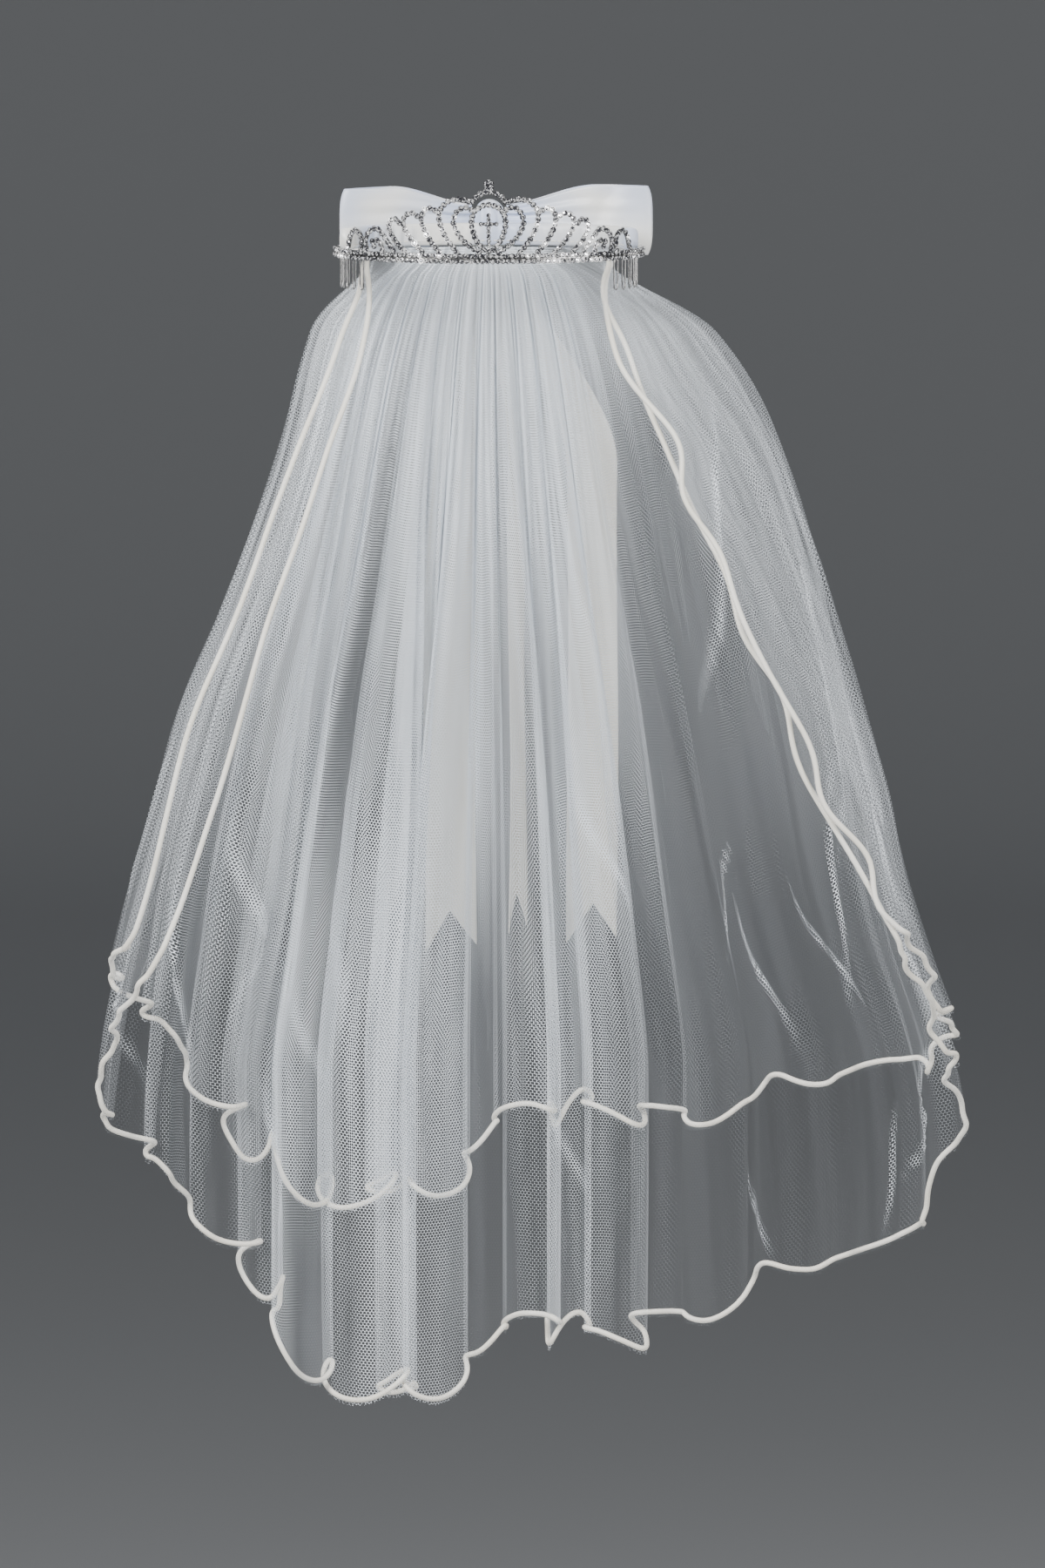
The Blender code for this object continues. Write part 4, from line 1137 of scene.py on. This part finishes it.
def make_stones(stone, metal):
    scrolls = [(tiara_points(path), closed) for name, path, closed in wire_paths()]
    turns = np.radians((45, 135, 225, 315))
    tip = [(TIP_RING * math.cos(a), CROWN_TIP[1] - TIP_RING + TIP_RING * math.sin(a)) for a in turns]
    scrolls.append((tiara_points(tip), True))
    post = [(0, z) for z in np.linspace(CROSS_BOTTOM, CROSS_TOP, 9)]
    arms = [(x, CROSS_ARM_HEIGHT) for x in np.linspace(-CROSS_ARM_HALF, CROSS_ARM_HALF, 5)]
    cross = [(tiara_points(post), False), (tiara_points(arms), False)]
    angles = np.linspace(-math.pi / 2, math.pi / 2, 240)[3:-3]
    plan = np.stack([TIARA_HALF_WIDTH * np.sin(angles), -TIARA_REACH * np.cos(angles)], axis=1)
    rows = []
    for height, start in ((BAND_ROW_HEIGHT, 0), (-BAND_ROW_HEIGHT, 2)):
        line = np.concatenate([plan, np.full((len(plan), 1), height)], axis=1)
        rows.append((line[start:], False))
    stones = set_stones_tree("set_stones", stone, cup=False)
    cups = set_stones_tree("set_cups", metal, cup=True)
    sets = (
        ("scroll", scrolls, STONE_PITCH, STONE_RADIUS, WIRE_RADIUS),
        ("cross", cross, CROSS_STONE_PITCH, CROSS_STONE_RADIUS, WIRE_RADIUS),
        ("band", rows, BAND_PITCH, BAND_STONE_RADIUS, BAND_THICK / 2 + BAND_STONE_STAND),
    )
    for name, paths, pitch, radius, stand in sets:
        sizes = {"Pitch": pitch, "Radius": radius, "Stand": stand}
        grow(name + "_stones", paths, stones, sizes, "silver")
        grow(name + "_cups", paths, cups, sizes, "silver")


def comb_line(angle, z, side):
    half, reach = TIARA_HALF_WIDTH - COMB_INSET, TIARA_REACH - COMB_INSET
    return (side * half * math.sin(angle), -reach * math.cos(angle), z)


def make_comb(word, side, metal):
    """A wire comb: a bar with paired long teeth, each pair bent from one wire."""
    angles = np.radians(np.linspace(COMB_FROM_DEG, COMB_TO_DEG, 2 * COMB_TEETH))
    path = []
    for i in range(COMB_TEETH):
        left, right = angles[2 * i], angles[2 * i + 1]
        middle = (left + right) / 2
        downs = np.linspace(0, 1, 8)
        for start, shares in ((left, downs), (right, downs[::-1])):
            if start == right:
                path.append(comb_line(middle, -COMB_TOOTH - COMB_TOOTH_TIP, side))
            for share in shares:
                angle = start + (middle - start) * COMB_LEAN * share
                path.append(comb_line(angle, -COMB_TOOTH * share, side))
    piece = tube(f"side_comb_{word}_wire", path, COMB_WIRE_RADIUS, 8, metal)
    bar = np.linspace(angles[0] - COMB_BAR_PAST, angles[-1] + COMB_BAR_PAST, 30)
    bar = [comb_line(a, COMB_BAR_HEIGHT, side) for a in bar]
    tube(f"side_comb_{word}_bar", bar, COMB_BAR_RADIUS, 10, metal)
    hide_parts("side_comb_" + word)


def new_material(name, colour, roughness, metallic=0.0):
    material = bpy.data.materials.new(name)
    material.use_nodes = True
    shader = material.node_tree.nodes["Principled BSDF"]
    shader.inputs["Base Color"].default_value = (*colour, 1.0)
    shader.inputs["Roughness"].default_value = roughness
    shader.inputs["Metallic"].default_value = metallic
    return material, material.node_tree, shader


def mix_colours(tree, factor, first, second):
    ends = {0: factor, 6: (*first, 1), 7: (*second, 1)}
    return add_node(tree, "ShaderNodeMix", ends, data_type="RGBA").outputs[2]


def noise(tree, vector, scale, detail=2.0, stretch=(1, 1, 1)):
    place = add_node(tree, "ShaderNodeMapping", {"Scale": stretch, "Vector": vector}).outputs[0]
    cloud = {"Scale": scale, "Detail": detail, "Vector": place}
    return add_node(tree, "ShaderNodeTexNoise", cloud).outputs["Fac"]


def spread(tree, value, low, high, to_low=0.0, to_high=1.0, **settings):
    """Maps the run from low to high onto another one."""
    ends = {"Value": value, "From Min": low, "From Max": high, "To Min": to_low, "To Max": to_high}
    return add_node(tree, "ShaderNodeMapRange", ends, **settings).outputs[0]


def cloth_uv(tree):
    return add_node(tree, "ShaderNodeUVMap", uv_map="cloth").outputs[0]


def laid_value(tree, name):
    return add_node(tree, "ShaderNodeAttribute", attribute_name=name).outputs["Fac"]


def split(tree, vector):
    return add_node(tree, "ShaderNodeSeparateXYZ", {0: vector}).outputs


def object_place(tree):
    return add_node(tree, "ShaderNodeTexCoord").outputs["Object"]


def net_material(name, edge):
    """White tulle: a six-sided mesh of thread, closer where the net is gathered or creased. Past the
    cords it is trimmed raggedly."""
    material, tree, shader = new_material(name, PALE_NET, NET_ROUGHNESS)
    uv = cloth_uv(tree)
    rate = 4 * math.pi / math.sqrt(3) / NET_PITCH
    total = None
    for degrees in (90, 210, 330):
        turn = math.radians(degrees)
        run = (rate * math.cos(turn), rate * math.sin(turn), 0)
        dot = add_node(tree, "ShaderNodeVectorMath", {0: uv, 1: run}, operation="DOT_PRODUCT")
        wave = maths(tree, "COSINE", dot.outputs["Value"])
        total = wave if total is None else maths(tree, "ADD", total, wave)
    clear = maths(tree, "POWER", 1 - NET_COVER, laid_value(tree, "closeness"))
    cover = maths(tree, "SUBTRACT", 1.0, clear)
    drawn = maths(tree, "MAXIMUM", cover, THREAD_COVER)
    lowest, slope, cube = THREAD_LEVELS
    cubed = maths(tree, "MULTIPLY", maths(tree, "POWER", drawn, 3.0), cube)
    level = maths(tree, "ADD", maths(tree, "ADD", maths(tree, "MULTIPLY", drawn, slope), lowest), cubed)
    low, high = (maths(tree, "ADD", level, soft) for soft in (-THREAD_SOFTNESS, THREAD_SOFTNESS))
    thread = spread(tree, total, low, high, 1.0, 0.0, interpolation_type="SMOOTHSTEP")
    alpha = maths(tree, "MULTIPLY", thread, maths(tree, "DIVIDE", cover, drawn))
    if edge:
        ragged = noise(tree, uv, 900.0, 2.0)
        reach = maths(tree, "MULTIPLY_ADD", ragged, TRIM * 1.6, CORD_SEAT + CORD_RADIUS - TRIM * 0.3)
        kept = maths(tree, "LESS_THAN", laid_value(tree, "trim"), reach)
        alpha = maths(tree, "MULTIPLY", alpha, kept)
    tree.links.new(alpha, shader.inputs["Alpha"])
    shader.inputs["Sheen Weight"].default_value = 0.2
    shader.inputs["Sheen Roughness"].default_value = 0.4
    return material


def weave_group():
    """Fine satin weave shared by the ribbons and cords: a bump normal."""
    group = bpy.data.node_groups.new("satin_weave", "ShaderNodeTree")
    for name, value in (("Pitch", RIBBON_WEAVE), ("Strength", 0.2)):
        socket = group.interface.new_socket(name, in_out="INPUT", socket_type="NodeSocketFloat")
        socket.default_value = value
    group.interface.new_socket("Normal", in_out="OUTPUT", socket_type="NodeSocketVector")
    given = group.nodes.new("NodeGroupInput").outputs
    uv = cloth_uv(group)
    across, down = split(group, uv)[:2]
    rate = maths(group, "DIVIDE", 2 * math.pi, given["Pitch"])
    lines = maths(group, "SINE", maths(group, "MULTIPLY", down, rate))
    slant = maths(group, "ADD", across, maths(group, "MULTIPLY", down, 0.5))
    cross = maths(group, "SINE", maths(group, "MULTIPLY", slant, rate))
    weave = maths(group, "MULTIPLY", lines, cross)
    crumple = noise(group, uv, 60.0, 3.0, (1, 0.4, 1))
    height = maths(group, "ADD", maths(group, "MULTIPLY", weave, 0.15), crumple)
    bump = {"Distance": WEAVE_HEIGHT, "Strength": given["Strength"], "Height": height}
    normal = add_node(group, "ShaderNodeBump", bump).outputs[0]
    group.links.new(normal, group.nodes.new("NodeGroupOutput").inputs["Normal"])
    return group


def satin_material(name, dark, light, roughness, group, pitch, strength):
    material, tree, shader = new_material(name, light, roughness)
    weave = add_node(tree, "ShaderNodeGroup", node_tree=group)
    weave.inputs["Pitch"].default_value = pitch
    weave.inputs["Strength"].default_value = strength
    tree.links.new(weave.outputs["Normal"], shader.inputs["Normal"])
    # Colours mixed by random noise: a random tone on the cord and tail satin, a painted shade on the white
    # ribbon.
    tone_and_painted_shade = spread(tree, noise(tree, cloth_uv(tree), 22.0, 1.0), 0.40, 0.60)
    tree.links.new(mix_colours(tree, tone_and_painted_shade, dark, light), shader.inputs["Base Color"])
    shader.inputs["Sheen Weight"].default_value = 0.25
    shader.inputs["Sheen Roughness"].default_value = 0.35
    shader.inputs["Specular IOR Level"].default_value = 0.6
    return material


def silver_material():
    """Plated wire, its colour and roughness mixed in small clouds between a dark grey and a brighter grey.
    """
    material, tree, shader = new_material("plated_silver", SILVER, 0.2, 1.0)
    cloud = noise(tree, object_place(tree), 240.0, 3.0)
    tree.links.new(mix_colours(tree, cloud, DARK_GREY_SILVER, BRIGHT_SILVER), shader.inputs["Base Color"])
    tree.links.new(spread(tree, cloud, 0.0, 1.0, 0.14, 0.36), shader.inputs["Roughness"])
    return material


def stone_material():
    """Foil-backed clear stones: bright facets among dark ones, different from stone to stone, painted into
    the base colour as a painted glint and a painted dark reflection.
    """
    material, tree, shader = new_material("clear_stone", (0.9, 0.91, 0.93), 0.08, 0.55)
    facet = {"Scale": 1500.0, "Vector": object_place(tree)}
    facets = add_node(tree, "ShaderNodeTexVoronoi", facet).outputs["Color"]
    # Painted glint: the brighter facets get a painted highlight, the rest a painted dark reflection.
    painted_glint_mask = spread(tree, split(tree, facets)["X"], 0.5, 0.66)
    tree.links.new(mix_colours(tree, painted_glint_mask, PAINTED_DARK_REFLECTION, PAINTED_GLINT), shader.inputs["Base Color"])
    shader.inputs["Coat Weight"].default_value = 0.6
    shader.inputs["Coat Roughness"].default_value = 0.03
    return material


# Stage, light and camera.
STAGE_RADIUS = 8.5
STAGE_FLAT = 0.8
STAGE_CURVE = 1.6
STAGE_RIM = 2.2
STAGE_SIDES = 96
STAGE_GREY = (0.58, 0.59, 0.60)
FLOOR = -1.25
ROOM_COLOUR = (0.5, 0.52, 0.55, 1)
ROOM_STRENGTH = 0.2
LIGHT_AIM = Vector((0, 0, -0.25))
LIGHTS = table("name place size power",
    ("key_light", (-1.1, -1.5, 0.8), (0.9, 1.2), 78),
    ("fill_light", (1.3, -1.3, 0.3), (0.9, 1.2), 30),
    ("top_light", (0.0, 0.2, 1.3), (0.8, 0.8), 8),
    ("side_light", (1.5, 0.9, 0.2), (0.5, 1.2), 12),
    ("back_light", (-1.4, 1.1, 0.2), (0.5, 1.2), 12),
)
CAMERA_DISTANCE = 6.0
CAMERA_RAISE_DEG = 7
AIM = Vector((0.0166, 0.03, -0.2692))
FRAME_HEIGHT = 0.783
SENSOR = 36.0


def make_stage():
    """A plain pale floor that curves up into a wall all round."""
    wall = STAGE_RADIUS - STAGE_CURVE
    profile = [(0.0, 0.0)] + [(r, 0.0) for r in np.linspace(STAGE_FLAT, wall, 8)]
    profile += [(wall + STAGE_CURVE * math.sin(a), STAGE_CURVE - STAGE_CURVE * math.cos(a))
                for a in np.linspace(0.15, math.pi / 2, 12)]
    profile.append((STAGE_RADIUS, STAGE_RIM))
    turns = 2 * math.pi * np.arange(STAGE_SIDES) / STAGE_SIDES
    points = [(r * math.cos(turn), r * math.sin(turn), FLOOR + z) for r, z in profile for turn in turns]
    mesh = bpy.data.meshes.new("stage_floor")
    mesh.from_pydata(points, [], grid_faces(len(profile), STAGE_SIDES, ring=True))
    mesh.shade_smooth()
    floor = bpy.data.objects.new("stage_floor", mesh)
    bpy.context.scene.collection.objects.link(floor)
    mesh.materials.append(new_material("pale_floor", STAGE_GREY, 0.9)[0])


def make_lights():
    for row in LIGHTS:
        data = bpy.data.lights.new(row.name, "AREA")
        data.shape = "RECTANGLE"
        data.size, data.size_y = row.size
        data.energy = row.power
        light = bpy.data.objects.new(row.name, data)
        light.location = row.place
        light.rotation_euler = (LIGHT_AIM - light.location).to_track_quat("-Z", "Y").to_euler()
        bpy.context.scene.collection.objects.link(light)
    world = bpy.data.worlds.new("soft_room")
    world.use_nodes = True
    room = world.node_tree.nodes["Background"].inputs
    room["Color"].default_value = ROOM_COLOUR
    room["Strength"].default_value = ROOM_STRENGTH
    bpy.context.scene.world = world


def make_camera():
    raise_angle = math.radians(CAMERA_RAISE_DEG)
    data = bpy.data.cameras.new("view_camera")
    data.sensor_width = SENSOR
    data.lens = SENSOR * CAMERA_DISTANCE / FRAME_HEIGHT
    data.clip_start = 0.05
    data.clip_end = 60
    camera = bpy.data.objects.new("view_camera", data)
    camera.location = AIM + Vector((0, -math.cos(raise_angle), math.sin(raise_angle))) * CAMERA_DISTANCE
    camera.rotation_euler = (AIM - camera.location).to_track_quat("-Z", "Y").to_euler()
    bpy.context.scene.collection.objects.link(camera)
    bpy.context.scene.camera = camera


def dress(node, material):
    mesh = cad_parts[node].data
    mesh.materials.clear()
    mesh.materials.append(material)


def build():
    make_camera()
    make_lights()
    make_stage()
    weave = weave_group()
    net = net_material("white_tulle", edge=False)
    net_edge = net_material("white_tulle_edge", edge=True)
    cord_satin = satin_material("ivory_cord_satin", CORD_SHADE, IVORY, 0.38, weave, CORD_WEAVE, 0.35)
    # The ribbon's darker colour is a painted shade, mixed in at random.
    ribbon = satin_material("white_satin_ribbon", BOW_PAINTED_SHADE, BOW_WHITE, 0.25, weave, RIBBON_WEAVE, 0.18)
    tail_satin = satin_material("cream_satin_tail", TAIL_SHADE, IVORY, 0.34, weave, RIBBON_WEAVE, 0.15)
    silver = silver_material()
    stone = stone_material()
    for layer in ("long", "short"):
        piece, points, (width, length, area) = make_net(layer, net, net_edge)
        cord = make_edge_cord(layer, points, cord_satin)
    make_header(ribbon)
    make_stitches(cord_satin)
    make_knot(ribbon)
    for loop in LOOPS:
        piece = make_loop(loop, ribbon)
    for tail in TAILS:
        piece, length = make_tail(tail, tail_satin)
    make_wires(silver)
    make_stones(stone, silver)
    make_comb("left", -1, silver)
    make_comb("right", 1, silver)
    dress("tiara_band", silver)
    dress("tiara_cross", silver)
    bpy.context.view_layer.update()


build()
